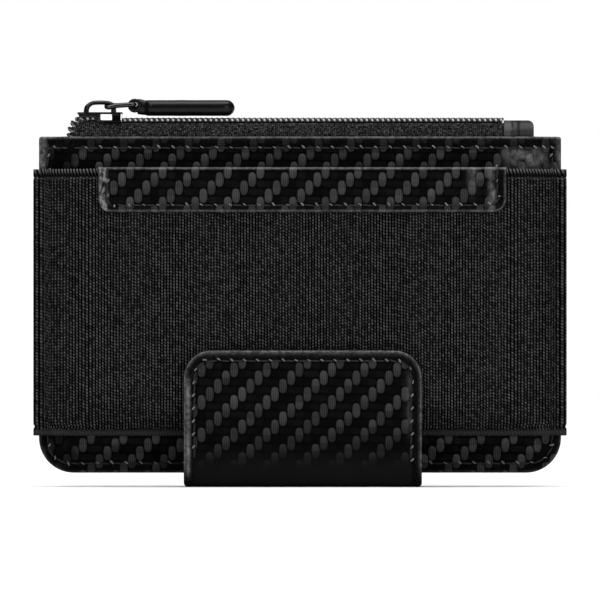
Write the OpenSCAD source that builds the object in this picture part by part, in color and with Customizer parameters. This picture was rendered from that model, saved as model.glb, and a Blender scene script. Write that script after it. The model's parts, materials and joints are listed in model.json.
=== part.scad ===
// Slim wallet: zipped coin pouch, elastic card pocket, folded magnetic clip.
// It stands on the fold of the clip. X is to the right, -Y the front, Z up.

/* [Pouch] */
// width of the leather panels
panel_w = 112; // [95:0.5:130]
// height of the leather panels
panel_h = 72.1; // [60:0.5:90]
// thickness of each leather panel
panel_t = 1.2; // [0.8:0.1:2]
// thickness of each lining
lining_t = 0.3; // [0.2:0.05:0.5]
// free depth of the coin pocket
coin_gap = 4.4; // [4.2:0.1:8]
// radius of the panels' lower corners
panel_r = 7.5; // [4:0.5:12]
// width of the sewn border round the pouch
seam_w = 4; // [3.5:0.25:6]

/* [Elastic card pocket] */
// height of the elastic band
band_h = 57.1; // [50:0.5:70]
// distance from the panels' lower edge to the band
band_up = 8; // [7:0.5:12]
// thickness of the elastic
band_t = 1; // [0.7:0.1:1.5]
// thickness of the elastic where it wraps the side edges
wrap_t = 1.2; // [0.8:0.1:1.6]
// free depth behind the band for cards
card_gap = 4.9; // [4.8:0.1:9]
// width of the leather trim on the pocket's mouth
trim_w = 87.3; // [60:0.5:90]
// height of the trim
trim_h = 9.7; // [6:0.5:14]
// thickness of the trim in front of the band
trim_t = 0.8; // [0.5:0.1:1.2]
// thickness of the trim behind the band
trim_back_t = 0.6; // [0.4:0.1:0.8]

/* [Clip] */
// width of the clip's strap
clip_w = 50.9; // [35:0.5:65]
// height of the clip's front leaf above the base
clip_h = 29.25; // [24:0.25:45]
// height of the strap's sewn end above the base
root_h = 27; // [20:0.5:45]
// sideways shift of the clip from the middle
clip_dx = 0.6; // [-5:0.1:5]
// thickness of the strap
strap_t = 1.6; // [1.2:0.1:2.2]
// radius of the strap's outer bends
fold_r = 3; // [2.4:0.1:4]
// gap between the bottom seam and the strap
fold_gap = 1.3; // [0.6:0.1:3]
// radius of the leaf's upper corners
leaf_r = 6; // [2:0.5:10]
// thickness of the leaf's outer leather
leaf_skin_t = 1; // [0.8:0.1:1.4]
// thickness of the leaf's core and magnets
leaf_core_t = 0.8; // [0.6:0.1:1.2]
// thickness of the leaf's inner leather
leaf_lining_t = 0.6; // [0.5:0.1:1]
// gap between the closed leaf and the band
leaf_gap = 0.3; // [0.2:0.1:2]
// diameter of the magnets
magnet_d = 9; // [6:0.5:12]

/* [Zip] */
// height of the zip's ridge above the panels
ridge_h = 3.3; // [2.6:0.1:5]
// width of one row of teeth
coil_w = 1.9; // [1.5:0.1:2.4]
// height of the teeth
coil_h = 1.15; // [0.9:0.05:1.5]
// thickness of the woven tape
tape_t = 0.5; // [0.3:0.05:0.7]
// length of the leather end tab
tab_l = 6.4; // [4:0.2:9]
// length of the slider
slider_l = 9.65; // [8:0.25:12]
// width of the slider
slider_w = 6.4; // [5.8:0.2:8]
// thickness of the slider's plates
plate_t = 0.47; // [0.4:0.05:0.8]
// wire of the pull link
wire_d = 0.75; // [0.5:0.05:1]
// distance between the link's two cross bars
link_l = 6.3; // [5.5:0.1:9]
// length of the leather puller past the link
pull_l = 21.3; // [14:0.5:40]
// thickness of the leather puller
pull_t = 3.3; // [2.4:0.1:4]
// width of the leather puller
pull_w = 5.2; // [4.4:0.2:9]
// clearance of moving metal parts
metal_gap = 0.125; // [0.1:0.025:0.3]

/* [Hidden] */
$fn = 48;
eps = 0.01;
half_w = panel_w / 2;
panel_z = strap_t + fold_gap;
panel_top = panel_z + panel_h;
// heights in front of the sewn border
band_in = coin_gap + card_gap;
band_out = band_in + band_t;
leaf_in = band_out + leaf_gap;
leaf_t = leaf_skin_t + leaf_core_t + leaf_lining_t;
leaf_out = leaf_in + leaf_t;
seam_t = 2 * panel_t + 2 * lining_t;
depth = strap_t + seam_t + leaf_out;
back_y = depth / 2 - strap_t;
front_y = back_y - seam_t;
face_y = front_y - coin_gap;
// the raised middle of the front panel
base_x = half_w - seam_w;
flat_x = base_x - 2.4;
base_z = panel_z + seam_w - 0.4;
flat_z = base_z + 3;
// the band
band_z = panel_z + band_up;
band_top = band_z + band_h;
band_in_z = band_z + 2;
trim_x = 0.5;
trim_z = band_top + 0.4 - trim_h;
// the zip
mouth_y = (face_y + panel_t + back_y - panel_t) / 2;
mouth_half = (back_y - panel_t - face_y - panel_t) / 2;
ridge_z = panel_top + ridge_h;
coil_z = ridge_z - coil_h;
tape_z = coil_z - 0.05;
zip_left = 8.9 - half_w;
zip_right = half_w - 12.3;
slide_x0 = zip_left - 0.6;
slide_x1 = slide_x0 + slider_l;
plate_top = ridge_z + 1.9;
plate_low = plate_top - plate_t;
floor_top = tape_z - tape_t - 0.55;
crown_top = plate_top + 2.5;
bar_x = slide_x1 - 3.55;
bar_z = crown_top - 0.7 - metal_gap - wire_d / 2;
link_tilt = 3.6;
eye_x = bar_x + link_l * cos(link_tilt);
eye_z = bar_z + link_l * sin(link_tilt);
link_y = 1.7;
neck_half = link_y - wire_d / 2 - 0.2;
// the clip
clip_x0 = clip_dx - clip_w / 2;
clip_x1 = clip_dx + clip_w / 2;
leaf_y = front_y - leaf_in;
out_y = front_y - leaf_out;
fold_z = fold_r + 2.5;
fold_y = out_y + fold_r + 0.8;
magnet_x = 14;
magnet_z = 20;
thread = 0.22;

// which part to draw

leather = [0.1, 0.1, 0.11];
smooth = [0.16, 0.16, 0.17];
cloth = [0.3, 0.3, 0.32];
woven = [0.2, 0.2, 0.2];
sewing = [0.05, 0.05, 0.05];
metal = [0.45, 0.45, 0.48];
magnet = [0.75, 0.75, 0.75];

// an upright plate from y back to back - t
module wall(back, t) {
  translate([0, back, 0]) rotate([90, 0, 0]) linear_extrude(height = t) children();
}

// outline in X and Z with lower and upper corner radii
module outline(x0, x1, z0, z1, r0, r1) {
  mid = (z0 + z1) / 2;
  translate([x0 + r0, z0]) square([x1 - x0 - 2 * r0, mid - z0]);
  translate([x0, z0 + r0]) square([x1 - x0, z1 - r1 - z0 - r0]);
  translate([x0 + r1, mid]) square([x1 - x0 - 2 * r1, z1 - mid]);
  for (s = [x0 + r0, x1 - r0]) translate([s, z0 + r0]) circle(r = r0);
  for (s = [x0 + r1, x1 - r1]) translate([s, z1 - r1]) circle(r = r1);
}

// the space in front of the border that the pouch fills, moved back by d
module bulge(d, top) {
  hull() {
    wall(front_y + d + eps, eps)
      outline(-base_x, base_x, base_z, top, 4, 0.2, $fn = 32);
    wall(face_y + d + eps, eps)
      outline(-flat_x, flat_x, flat_z, top, 3, 0.2, $fn = 32);
  }
}

module front_panel() {
  color(leather) difference() {
    union() {
      wall(front_y + panel_t, panel_t)
        outline(-half_w, half_w, panel_z, panel_top, panel_r, 0.5);
      bulge(0, panel_top);
    }
    bulge(panel_t, panel_top + 2);
    for (s = [-1, 1]) translate([clip_dx + s * magnet_x, face_y + panel_t + 1, magnet_z])
      rotate([90, 0, 0]) cylinder(d = magnet_d + 0.2, h = 1.6);
  }
}

module back_panel() {
  color(leather) wall(back_y, panel_t)
    outline(-half_w, half_w, panel_z, panel_top, panel_r, 0.5);
}

module front_lining() {
  color(cloth) difference() {
    union() {
      wall(front_y + panel_t + lining_t, lining_t)
        outline(-half_w + 0.6, half_w - 0.6, panel_z + 0.6, panel_top - 6.5, panel_r - 0.6, 0.5);
      bulge(panel_t, panel_top - 6.5);
    }
    bulge(panel_t + lining_t, panel_top);
  }
}

module back_lining() {
  color(cloth) wall(back_y - panel_t, lining_t)
    outline(-half_w + 0.6, half_w - 0.6, panel_z + 0.6, panel_top - 6.5, panel_r - 0.6, 0.5);
}

// a row of n stitches laid on a face at y, between two points in X and Z
module stitches(x0, z0, x1, z1, n, l, y, w = 0.5) {
  a = atan2(z1 - z0, x1 - x0);
  for (i = [0:n - 1]) {
    f = n == 1 ? 0.5 : i / (n - 1);
    translate([x0 + f * (x1 - x0), y - thread, z0 + f * (z1 - z0)]) rotate([0, -a, 0])
      translate([-l / 2, 0, -w / 2]) cube([l, thread, w]);
  }
}

// stitches round a corner
module corner_stitches(x, z, r, a0, a1, n, l, y, w = 0.5) {
  for (i = [0:n - 1]) {
    a = a0 + (a1 - a0) * (i + 0.5) / n;
    translate([x + r * cos(a), y - thread, z + r * sin(a)]) rotate([0, -a - 90, 0])
      translate([-l / 2, 0, -w / 2]) cube([l, thread, w]);
  }
}

module panel_stitching() {
  sx = half_w - 1.9;
  color(sewing) {
    stitches(-flat_x + 2, panel_top - 2.5, flat_x - 2, panel_top - 2.5, 31, 2.4, face_y);
    stitches(-half_w + panel_r + 1, panel_z + 2, half_w - panel_r - 1, panel_z + 2, 32, 2.4, front_y);
    for (s = [-1, 1]) {
      stitches(s * sx, band_top + 1.8, s * sx, panel_top - 2.5, 2, 2.2, front_y);
      corner_stitches(s * (half_w - panel_r), panel_z + panel_r, panel_r - 2,
        s < 0 ? 180 : 270, s < 0 ? 270 : 360, 3, 2.2, front_y);
    }
  }
}

// one tape: down inside a panel, over to the teeth
module zip_tape(s) {
  leg = mouth_half - tape_t;
  difference() {
    union() {
      translate([zip_left, min(s * leg, s * mouth_half), panel_top - 6.3])
        cube([zip_right - zip_left - 0.2, tape_t, tape_z - panel_top + 6.3 - 0.5]);
      translate([zip_left, min(s * 0.15, s * (leg + eps)), tape_z - tape_t])
        cube([zip_right - zip_left - 0.2, leg + eps - 0.15, tape_t]);
      translate([zip_left, s * leg, tape_z - 0.5]) rotate([0, 90, 0])
        cylinder(r = tape_t, h = zip_right - zip_left - 0.2);
    }
    translate([zip_left - 1, -0.75, tape_z - 3]) cube([4.2, 1.5, 6]);
  }
}

module zip_tape_front() {
  color(woven) translate([0, mouth_y, 0]) zip_tape(-1);
}

module zip_tape_rear() {
  color(woven) translate([0, mouth_y, 0]) zip_tape(1);
}

// one row of teeth, its left end humped under the slider and turned down
module zip_teeth(s) {
  y0 = s * (0.15 + coil_w / 2);
  zc = coil_z + coil_h / 2;
  path = [[zip_left + 4.6, 0, 0], [zip_left + 2.4, 0.7, 0.55], [zip_left + 0.4, 0.75, 0.8],
    [zip_left - 0.9, 0.7, 0.4], [zip_left - 1.7, 0.6, -0.8], [zip_left - 2, 0.5, -2.1]];
  translate([zip_left + 4.6, min(s * 0.15, s * (0.15 + coil_w)), coil_z + coil_h * 0.3])
    cube([zip_right - 0.2 - zip_left - 4.6, coil_w, coil_h * 0.4]);
  translate([zip_left + 4.6, min(s * (0.15 + coil_w * 0.2), s * (0.15 + coil_w * 0.8)), coil_z])
    cube([zip_right - 0.2 - zip_left - 4.6, coil_w * 0.6, coil_h]);
  for (i = [0:4]) hull() {
    translate([path[i][0], y0 + s * path[i][1], zc + path[i][2]]) sphere(r = 0.55, $fn = 12);
    translate([path[i + 1][0], y0 + s * path[i + 1][1], zc + path[i + 1][2]])
      sphere(r = 0.55, $fn = 12);
  }
}

module zip_teeth_front() {
  color(metal) translate([0, mouth_y, 0]) zip_teeth(-1);
}

module zip_teeth_rear() {
  color(metal) translate([0, mouth_y, 0]) zip_teeth(1);
}

module zip_end_tab() {
  color(smooth) {
    wall(mouth_y + mouth_half + 0.5, 2 * mouth_half + 1)
      outline(zip_right, zip_right + tab_l, panel_top, ridge_z + 0.15, 0.1, 1.3);
    wall(mouth_y + mouth_half - 0.1, 2 * mouth_half - 0.2)
      outline(zip_right, flat_x - 0.4, panel_top - 6, panel_top + 1, 0.3, 0.3);
  }
}

module tab_stitching() {
  color(sewing) for (x = [zip_right + 1.4, zip_right + 3.4])
    translate([x, mouth_y - mouth_half - 0.5 - thread, panel_top + 0.6]) cube([0.4, thread, 1.9]);
}

module slider_body() {
  color(metal) translate([0, mouth_y, 0]) {
    translate([0, 0, plate_low]) linear_extrude(height = plate_t) difference() {
      translate([slide_x0, -slider_w / 2]) square([slider_l, slider_w]);
      for (s = [-1, 1]) translate([slide_x1, s * slider_w / 2]) rotate([0, 0, 45])
        square([1.4, 1.4], center = true);
      for (s = [-1, 1]) translate([slide_x0, s * slider_w / 2]) rotate([0, 0, 45])
        square([2.2, 2.2], center = true);
    }
    for (s = [-1, 1]) translate([slide_x1 - 4.6, s * 2.7 - 0.25, ridge_z - 0.2])
      cube([4.4, 0.5, plate_low - ridge_z + 0.3]);
    translate([slide_x0 + 0.7, -0.4, floor_top - 0.1])
      cube([1.3, 0.8, plate_low - floor_top + 0.2]);
    translate([slide_x0 + 0.4, -mouth_half + tape_t + 0.3, floor_top - plate_t])
      cube([slider_l - 0.8, 2 * (mouth_half - tape_t - 0.3), plate_t]);
  }
}

module slider_crown() {
  x = slide_x0;
  h = crown_top - plate_top;
  color(metal) translate([0, mouth_y + 1.1, plate_top]) rotate([90, 0, 0])
    linear_extrude(height = 2.2) difference() {
      polygon([[x + 1.3, 0], [x + 1.45, h * 0.45], [x + 2.1, h * 0.8], [x + 3.2, h],
        [x + 6.6, h], [x + 7.6, h * 0.8], [x + 8.1, h * 0.45], [x + 8.3, 0]]);
      polygon([[x + 2.5, -1], [x + 2.5, h * 0.4], [x + 3.0, h * 0.62], [x + 3.8, h - 0.7],
        [x + 6.5, h - 0.7], [x + 7.1, h * 0.6], [x + 7.3, h * 0.4], [x + 7.3, -1]]);
    }
}

// wire from one point to another along X or Y, with round ends
module pull_link() {
  color(metal) translate([bar_x, mouth_y, bar_z]) rotate([0, -link_tilt, 0]) {
    for (x = [0, link_l]) translate([x, -link_y, 0]) rotate([-90, 0, 0])
      cylinder(d = wire_d, h = 2 * link_y);
    for (s = [-1, 1]) translate([0, s * link_y, 0]) rotate([0, 90, 0])
      cylinder(d = wire_d, h = link_l);
    for (x = [0, link_l]) for (s = [-1, 1]) translate([x, s * link_y, 0]) sphere(d = wire_d);
  }
}

module leather_puller() {
  zc = eye_z - 0.9;
  x0 = eye_x + 2.1;
  x1 = eye_x + pull_l - pull_t / 2;
  color(smooth) {
    hull() {
      translate([0, mouth_y, 0]) for (w = [[pull_w - 1.8, 0], [pull_w, 0.75]])
        wall(w[0] / 2, w[0]) {
          translate([x1, zc]) circle(r = pull_t / 2 - w[1], $fn = 32);
          translate([x0 + w[1], zc - pull_t / 2 + w[1]])
            square([x1 - x0 - w[1], pull_t - 2 * w[1]]);
        }
    }
    translate([0, mouth_y + neck_half, 0]) rotate([90, 0, 0])
      linear_extrude(height = 2 * neck_half) difference() {
        union() {
          translate([eye_x - 0.9, eye_z - 0.15]) circle(r = 1.45);
          translate([eye_x + 0.4, eye_z - 0.15]) circle(r = 1.5);
          translate([eye_x - 0.9, eye_z - 1.6]) square([3.6, 2.4]);
        }
        translate([eye_x, eye_z]) circle(d = wire_d + 2 * metal_gap);
      }
  }
}

module elastic_band() {
  color(woven) {
    difference() {
      hull() {
        wall(front_y, eps) outline(-base_x - 2.2, base_x + 2.2, band_z, band_top, 0.2, 0.2, $fn = 12);
        wall(face_y - band_t + eps, eps)
          outline(-base_x + 0.4, base_x - 0.4, band_z, band_top, 0.2, 0.2, $fn = 12);
        wall(front_y - band_out + eps, eps)
          outline(-base_x + 5.1, base_x - 5.1, band_z + 5.7, band_top, 0.7, 0.2, $fn = 32);
      }
      hull() {
        wall(front_y + eps, eps)
          outline(-base_x - 1, base_x + 1, band_in_z, band_top + 1, 0.2, 0.2, $fn = 12);
        wall(face_y + eps, eps)
          outline(-base_x + 1, base_x - 1, band_in_z, band_top + 1, 0.2, 0.2, $fn = 12);
        wall(front_y - band_in + eps, eps)
          outline(-base_x + 5.5, base_x - 5.5, band_z + 6.1, band_top + 1, 0.7, 0.2, $fn = 32);
      }
      bulge(0, panel_top);
    }
    for (s = [-1, 1]) {
      translate([s > 0 ? base_x + 1 : -half_w - wrap_t, front_y - band_t, band_z])
        cube([half_w + wrap_t - base_x - 1, band_t, band_h]);
      translate([s > 0 ? half_w : -half_w - wrap_t, front_y - band_t, band_z])
        cube([wrap_t, seam_t + 2 * band_t, band_h]);
      translate([s > 0 ? half_w - 8 : -half_w - wrap_t, back_y, band_z])
        cube([8 + wrap_t, band_t, band_h]);
    }
  }
}

module band_stitching() {
  color(sewing) for (s = [-1, 1])
    stitches(s * (base_x + 2.95), band_z + 1.6, s * (base_x + 2.95), band_top - 1.6, 24, 1.7,
      front_y - band_t, 0.4);
}

module pocket_trim() {
  x0 = trim_x - trim_w / 2;
  x1 = trim_x + trim_w / 2;
  color(leather) {
    wall(front_y - band_out, trim_t) outline(x0, x1, trim_z, band_top + 0.4, 2.6, 0.3);
    wall(front_y - band_in + trim_back_t, trim_back_t)
      outline(x0, x1, band_top - 6, band_top + 0.4, 0.5, 0.3);
    translate([x0 + 0.3, front_y - band_out - trim_t / 2, band_top])
      cube([trim_w - 0.6, band_t + trim_t / 2 + trim_back_t / 2, 0.4]);
  }
}

module trim_stitching() {
  x0 = trim_x - trim_w / 2 + 1.6;
  x1 = trim_x + trim_w / 2 - 1.6;
  y = front_y - band_out - trim_t;
  color(sewing) {
    stitches(x0 + 2, trim_z + 1.5, x1 - 2, trim_z + 1.5, 27, 2.4, y, 0.4);
    for (x = [x0, x1]) stitches(x, trim_z + 3.4, x, band_top - 1.6, 2, 2.2, y, 0.4);
  }
}

// side view of the strap in Y and Z, drawn in X and Y
module strap_side() {
  translate([back_y, fold_r]) square([strap_t, root_h - fold_r]);
  translate([fold_y, 0]) square([depth / 2 - fold_r - fold_y, strap_t]);
  intersection() {
    difference() {
      translate([depth / 2 - fold_r, fold_r]) circle(r = fold_r);
      translate([depth / 2 - fold_r, fold_r]) circle(r = fold_r - strap_t);
    }
    translate([depth / 2 - fold_r, 0]) square([fold_r, fold_r]);
  }
}

module fold_side() {
  translate([out_y, fold_r]) square([strap_t, fold_z - fold_r]);
  translate([out_y + fold_r, 0]) square([fold_y - out_y - fold_r, strap_t]);
  intersection() {
    difference() {
      translate([out_y + fold_r, fold_r]) circle(r = fold_r);
      translate([out_y + fold_r, fold_r]) circle(r = fold_r - strap_t);
    }
    translate([out_y, 0]) square([fold_r, fold_r]);
  }
}

// a side view carried across the clip's width
module across() {
  translate([clip_x0, 0, 0]) rotate([90, 0, 90]) linear_extrude(height = clip_w) children();
}

// shallow channels that the strap's own stitches lie in
module strap_channels() {
  d = thread + 0.03;
  for (z = [root_h - 2.2, fold_r + 3]) translate([clip_x0 + 3, depth / 2 - d, z - 0.3])
    cube([clip_w - 6, 1, 0.6]);
  for (x = [clip_x0 + 2.3, clip_x1 - 2.3]) translate([x - 0.3, depth / 2 - d, fold_r + 4.5])
    cube([0.6, 1, root_h - fold_r - 8]);
}

module clip_strap() {
  color(leather) difference() {
    across() strap_side();
    strap_channels();
    for (s = [0, 1]) translate([s ? clip_x1 : clip_x0, depth, root_h]) rotate([90, 0, 0])
      rotate([0, 0, 45]) cube([4, 4, 20], center = true);
  }
}

module clip_fold() {
  color(leather) across() fold_side();
}

module clip_leaf() {
  color(leather) wall(out_y + leaf_skin_t, leaf_skin_t)
    outline(clip_x0, clip_x1, fold_z, clip_h, 0.3, leaf_r);
}

module core_outline(g) {
  outline(clip_x0 + 3.4 - g, clip_x1 - 3.4 + g, fold_z + 3.4 - g, clip_h - 3.4 + g, 1, leaf_r - 3);
}

module clip_leaf_lining() {
  color(smooth) difference() {
    wall(leaf_y, leaf_lining_t + leaf_core_t)
      outline(clip_x0, clip_x1, fold_z, clip_h, 0.3, leaf_r);
    wall(leaf_y - leaf_lining_t, leaf_core_t + 1) core_outline(0.1);
  }
}

module clip_core() {
  color(cloth) difference() {
    wall(leaf_y - leaf_lining_t, leaf_core_t) core_outline(0);
    for (s = [-1, 1]) translate([clip_dx + s * magnet_x, leaf_y + 1, magnet_z])
      rotate([90, 0, 0]) cylinder(d = magnet_d + 0.2, h = 6);
  }
}

module clip_magnets() {
  color(magnet) for (s = [-1, 1])
    translate([clip_dx + s * magnet_x, leaf_y - leaf_lining_t, magnet_z])
      rotate([90, 0, 0]) cylinder(d = magnet_d, h = leaf_core_t);
}

module panel_magnets() {
  color(magnet) for (s = [-1, 1])
    translate([clip_dx + s * magnet_x, face_y + panel_t, magnet_z])
      rotate([90, 0, 0]) cylinder(d = magnet_d, h = 0.6);
}

module clip_stitching() {
  color(sewing) {
    stitches(clip_x0 + leaf_r + 1, clip_h - 2.3, clip_x1 - leaf_r - 1, clip_h - 2.3, 13, 2.4, out_y, 0.4);
    for (s = [0, 1]) {
      x = s ? clip_x1 - 2.3 : clip_x0 + 2.3;
      stitches(x, fold_z + 2.4, x, clip_h - leaf_r - 1, 5, 2.4, out_y, 0.4);
      corner_stitches(s ? clip_x1 - leaf_r : clip_x0 + leaf_r, clip_h - leaf_r, leaf_r - 2.3,
        s ? 0 : 90, s ? 90 : 180, 2, 2.2, out_y, 0.4);
    }
  }
}

module strap_stitching() {
  y = depth / 2 - 0.03;
  color(sewing) {
    for (z = [root_h - 2.2, fold_r + 3])
      stitches(clip_x0 + 5, z, clip_x1 - 5, z, 14, 2.4, y, 0.4);
    for (x = [clip_x0 + 2.3, clip_x1 - 2.3])
      stitches(x, fold_r + 6, x, root_h - 5.2, 5, 2.4, y, 0.4);
  }
}

front_panel();
back_panel();
front_lining();
back_lining();
panel_stitching();
zip_tape_front();
zip_tape_rear();
zip_teeth_front();
zip_teeth_rear();
zip_end_tab();
tab_stitching();
slider_body();
slider_crown();
pull_link();
leather_puller();
elastic_band();
band_stitching();
pocket_trim();
trim_stitching();
clip_strap();
clip_fold();
clip_leaf();
clip_leaf_lining();
clip_core();
clip_magnets();
panel_magnets();
clip_stitching();
strap_stitching();
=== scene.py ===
import json
import math

import bmesh
import bpy
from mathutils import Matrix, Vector, noise

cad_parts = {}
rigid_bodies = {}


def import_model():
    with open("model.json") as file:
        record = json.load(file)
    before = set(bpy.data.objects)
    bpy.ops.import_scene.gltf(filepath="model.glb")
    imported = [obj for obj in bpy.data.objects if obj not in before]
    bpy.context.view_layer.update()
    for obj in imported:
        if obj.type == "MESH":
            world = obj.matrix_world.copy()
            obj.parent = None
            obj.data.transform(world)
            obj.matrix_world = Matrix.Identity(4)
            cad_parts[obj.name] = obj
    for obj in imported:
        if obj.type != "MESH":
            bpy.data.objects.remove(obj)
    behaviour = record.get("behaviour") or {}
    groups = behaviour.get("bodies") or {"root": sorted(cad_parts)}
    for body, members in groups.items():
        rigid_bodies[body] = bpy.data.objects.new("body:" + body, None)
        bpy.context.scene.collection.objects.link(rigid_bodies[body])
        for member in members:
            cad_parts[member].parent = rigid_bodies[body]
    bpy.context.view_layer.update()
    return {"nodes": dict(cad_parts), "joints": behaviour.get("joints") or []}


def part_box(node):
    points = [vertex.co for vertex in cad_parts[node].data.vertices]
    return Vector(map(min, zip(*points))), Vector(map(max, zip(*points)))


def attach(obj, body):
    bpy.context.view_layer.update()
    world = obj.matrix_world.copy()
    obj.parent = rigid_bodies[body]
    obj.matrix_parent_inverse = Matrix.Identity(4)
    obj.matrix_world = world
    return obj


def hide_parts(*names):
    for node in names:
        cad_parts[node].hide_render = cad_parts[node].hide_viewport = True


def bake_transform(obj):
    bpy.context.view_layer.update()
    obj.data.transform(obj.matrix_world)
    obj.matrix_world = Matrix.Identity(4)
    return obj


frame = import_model()
mm = 0.001
scene = bpy.context.scene
print("frame loaded")


def boxMm(node):  # a node's corners in millimetres: x0, y0, z0, x1, y1, z1
    low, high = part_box(node)
    return [c / mm for c in (*low, *high)]


# small maths
def clamp(v, low=0.0, high=1.0):
    return max(low, min(high, v))


def ease(v, low, high):  # 0 below low, 1 above high, smooth between
    t = clamp((v - low) / (high - low))
    return t * t * (3 - 2 * t)


def bead(v, middle, width):  # a smooth ridge of height 1
    return math.exp(-((v - middle) / width) ** 2)


def wobble(x, y, z, size):  # gentle unevenness, -1 to 1
    return noise.noise(Vector((x / size, y / size, z / size)))


def roundOff(d, r):  # how far an edge of radius r has dropped at distance d from it
    return 0.0 if d >= r else r - math.sqrt(max(0.0, r * r - (r - d) ** 2))


def edgeSteps(length, fine, step):  # distances from 0 to length, crowded at both ends
    near = [d for d in fine if d < length / 2]
    inner = length - 2 * near[-1]
    count = max(1, round(inner / step))
    middle = [near[-1] + inner * k / count for k in range(1, count)]
    return near + middle + [length - d for d in reversed(near)]


def insetIn(x, z, x0, x1, z0, z1, r0, r1):  # distance in from a rounded outline
    r = r0 if z < (z0 + z1) / 2 else r1
    dx = min(x - x0, x1 - x)
    dz = min(z - z0, z1 - z)
    if dx < r and dz < r:
        return r - math.hypot(r - dx, r - dz)
    return min(dx, dz)


def halfWidthAt(z, half, z0, z1, r0, r1):  # half width of a rounded outline at a height
    low, high = max(0.0, r0 - (z - z0)), max(0.0, r1 - (z1 - z))
    cut = 0.0
    if low > 0:
        cut = r0 - math.sqrt(max(0.0, r0 * r0 - low * low))
    if high > 0:
        cut = max(cut, r1 - math.sqrt(max(0.0, r1 * r1 - high * high)))
    return half - cut


# mesh making
fineEdge = [0, 0.06, 0.16, 0.3, 0.5, 0.75, 1.0, 1.3, 1.6, 1.9, 2.2, 2.5, 2.9, 3.4]


def makeObject(name, verts, faces, materials, picks=None, uvs=None, shine=None):
    mesh = bpy.data.meshes.new(name)
    mesh.from_pydata([(x * mm, y * mm, z * mm) for x, y, z in verts], [], faces)
    for material in materials:
        mesh.materials.append(material)
    if picks:
        mesh.polygons.foreach_set("material_index", picks)
    if uvs:
        layer = mesh.uv_layers.new(name="UVMap")
        flat = []
        for loop in mesh.loops:
            flat.extend(uvs[loop.vertex_index])
        layer.data.foreach_set("uv", flat)
    if shine:  # how much painted highlight each point gets, and how much it is smooth instead of woven
        for label, values in zip(("shine", "plain"), zip(*shine)):
            mesh.attributes.new(label, "FLOAT", "POINT").data.foreach_set("value", values)
    mesh.polygons.foreach_set("use_smooth", [True] * len(mesh.polygons))
    work = bmesh.new()
    work.from_mesh(mesh)
    bmesh.ops.recalc_face_normals(work, faces=work.faces)
    work.to_mesh(mesh)
    work.free()
    piece = bpy.data.objects.new(name, mesh)
    scene.collection.objects.link(piece)
    return piece


def skinSolid(name, rows, columns, outer, inner, materials, uvAt, shineAt=None):
    # a closed piece between two surfaces given on one grid: outer face slot 0, inner 1, edges 2
    verts, uvs, shine = [], [], []
    for surface in (outer, inner):
        for r in rows:
            for c in columns:
                verts.append(surface(r, c))
                uvs.append(uvAt(r, c))
                if shineAt:
                    shine.append(shineAt(r, c) if surface is outer else (0.0, 1.0))
    n, w = len(rows) * len(columns), len(columns)
    faces, picks = [], []
    last = len(materials) - 1
    for i in range(len(rows) - 1):
        for j in range(w - 1):
            a = i * w + j
            faces.append((a, a + 1, a + w + 1, a + w))
            picks.append(0)
            faces.append((n + a, n + a + w, n + a + w + 1, n + a + 1))
            picks.append(min(1, last))
    for i in range(len(rows) - 1):
        for j in (0, w - 1):
            a = i * w + j
            faces.append((a, a + w, n + a + w, n + a))
            picks.append(min(2, last))
    for j in range(w - 1):
        for i in (0, len(rows) - 1):
            a = i * w + j
            faces.append((a, a + 1, n + a + 1, n + a))
            picks.append(min(2, last))
    return makeObject(name, verts, faces, materials, picks, uvs, shine=shine)


def tube(name, path, radius, material, sides=12, closed=False, flatten=1.0):
    # a round rod along points, squeezed across by flatten
    verts, faces = [], []
    count = len(path)
    for k, p in enumerate(path):
        before = path[k - 1] if (k or closed) else path[0]
        after = path[(k + 1) % count] if (k < count - 1 or closed) else path[-1]
        along = (Vector(after) - Vector(before)).normalized()
        side = Vector((0, 1, 0)) if abs(along.y) < 0.9 else Vector((0, 0, 1))
        up = along.cross(side).normalized()
        side = up.cross(along).normalized()
        for s in range(sides):
            a = 2 * math.pi * s / sides
            r = radius(k) if callable(radius) else radius
            verts.append(Vector(p) + side * math.cos(a) * r * flatten + up * math.sin(a) * r)
    rings = count if closed else count - 1
    for k in range(rings):
        for s in range(sides):
            a, b = k * sides + s, k * sides + (s + 1) % sides
            c, d = ((k + 1) % count) * sides + (s + 1) % sides, ((k + 1) % count) * sides + s
            faces.append((a, b, c, d))
    if not closed:
        faces.append(tuple(range(sides)))
        faces.append(tuple((count - 1) * sides + s for s in range(sides)))
    return makeObject(name, verts, faces, [material])


def settle(piece, body, slot, *nodes):  # ride on the body and hide the stood-for CAD nodes in one go
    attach(piece, body)
    if nodes:
        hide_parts(*nodes)
    return piece


# shader writing
class Wire:
    def __init__(self, look, socket):
        self.look, self.socket = look, socket

    def math(self, kind, *others):
        return self.look.add("ShaderNodeMath", {"operation": kind}, dict(enumerate((self, *others))))

    def __add__(self, other): return self.math("ADD", other)
    def __radd__(self, other): return self.math("ADD", other)
    def __sub__(self, other): return self.math("SUBTRACT", other)
    def __rsub__(self, other): return self.look.number(other).math("SUBTRACT", self)
    def __mul__(self, other): return self.math("MULTIPLY", other)
    def __rmul__(self, other): return self.math("MULTIPLY", other)
    def __truediv__(self, other): return self.math("DIVIDE", other)
    def __mod__(self, other): return self.math("FLOORED_MODULO", other)
    def __pow__(self, other): return self.math("POWER", other)
    def __lt__(self, other): return self.math("LESS_THAN", other)

    def floor(self): return self.math("FLOOR")
    def fract(self): return self.math("FRACT")
    def sin(self): return self.math("SINE")
    def top(self, other): return self.math("MAXIMUM", other)
    def low(self, other): return self.math("MINIMUM", other)
    def size(self): return self.math("ABSOLUTE")

    def step(self, start, end):  # smooth 0 to 1
        return self.look.add("ShaderNodeMapRange", {"interpolation_type": "SMOOTHSTEP"},
                             {0: self, 1: start, 2: end, 3: 0.0, 4: 1.0})


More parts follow.
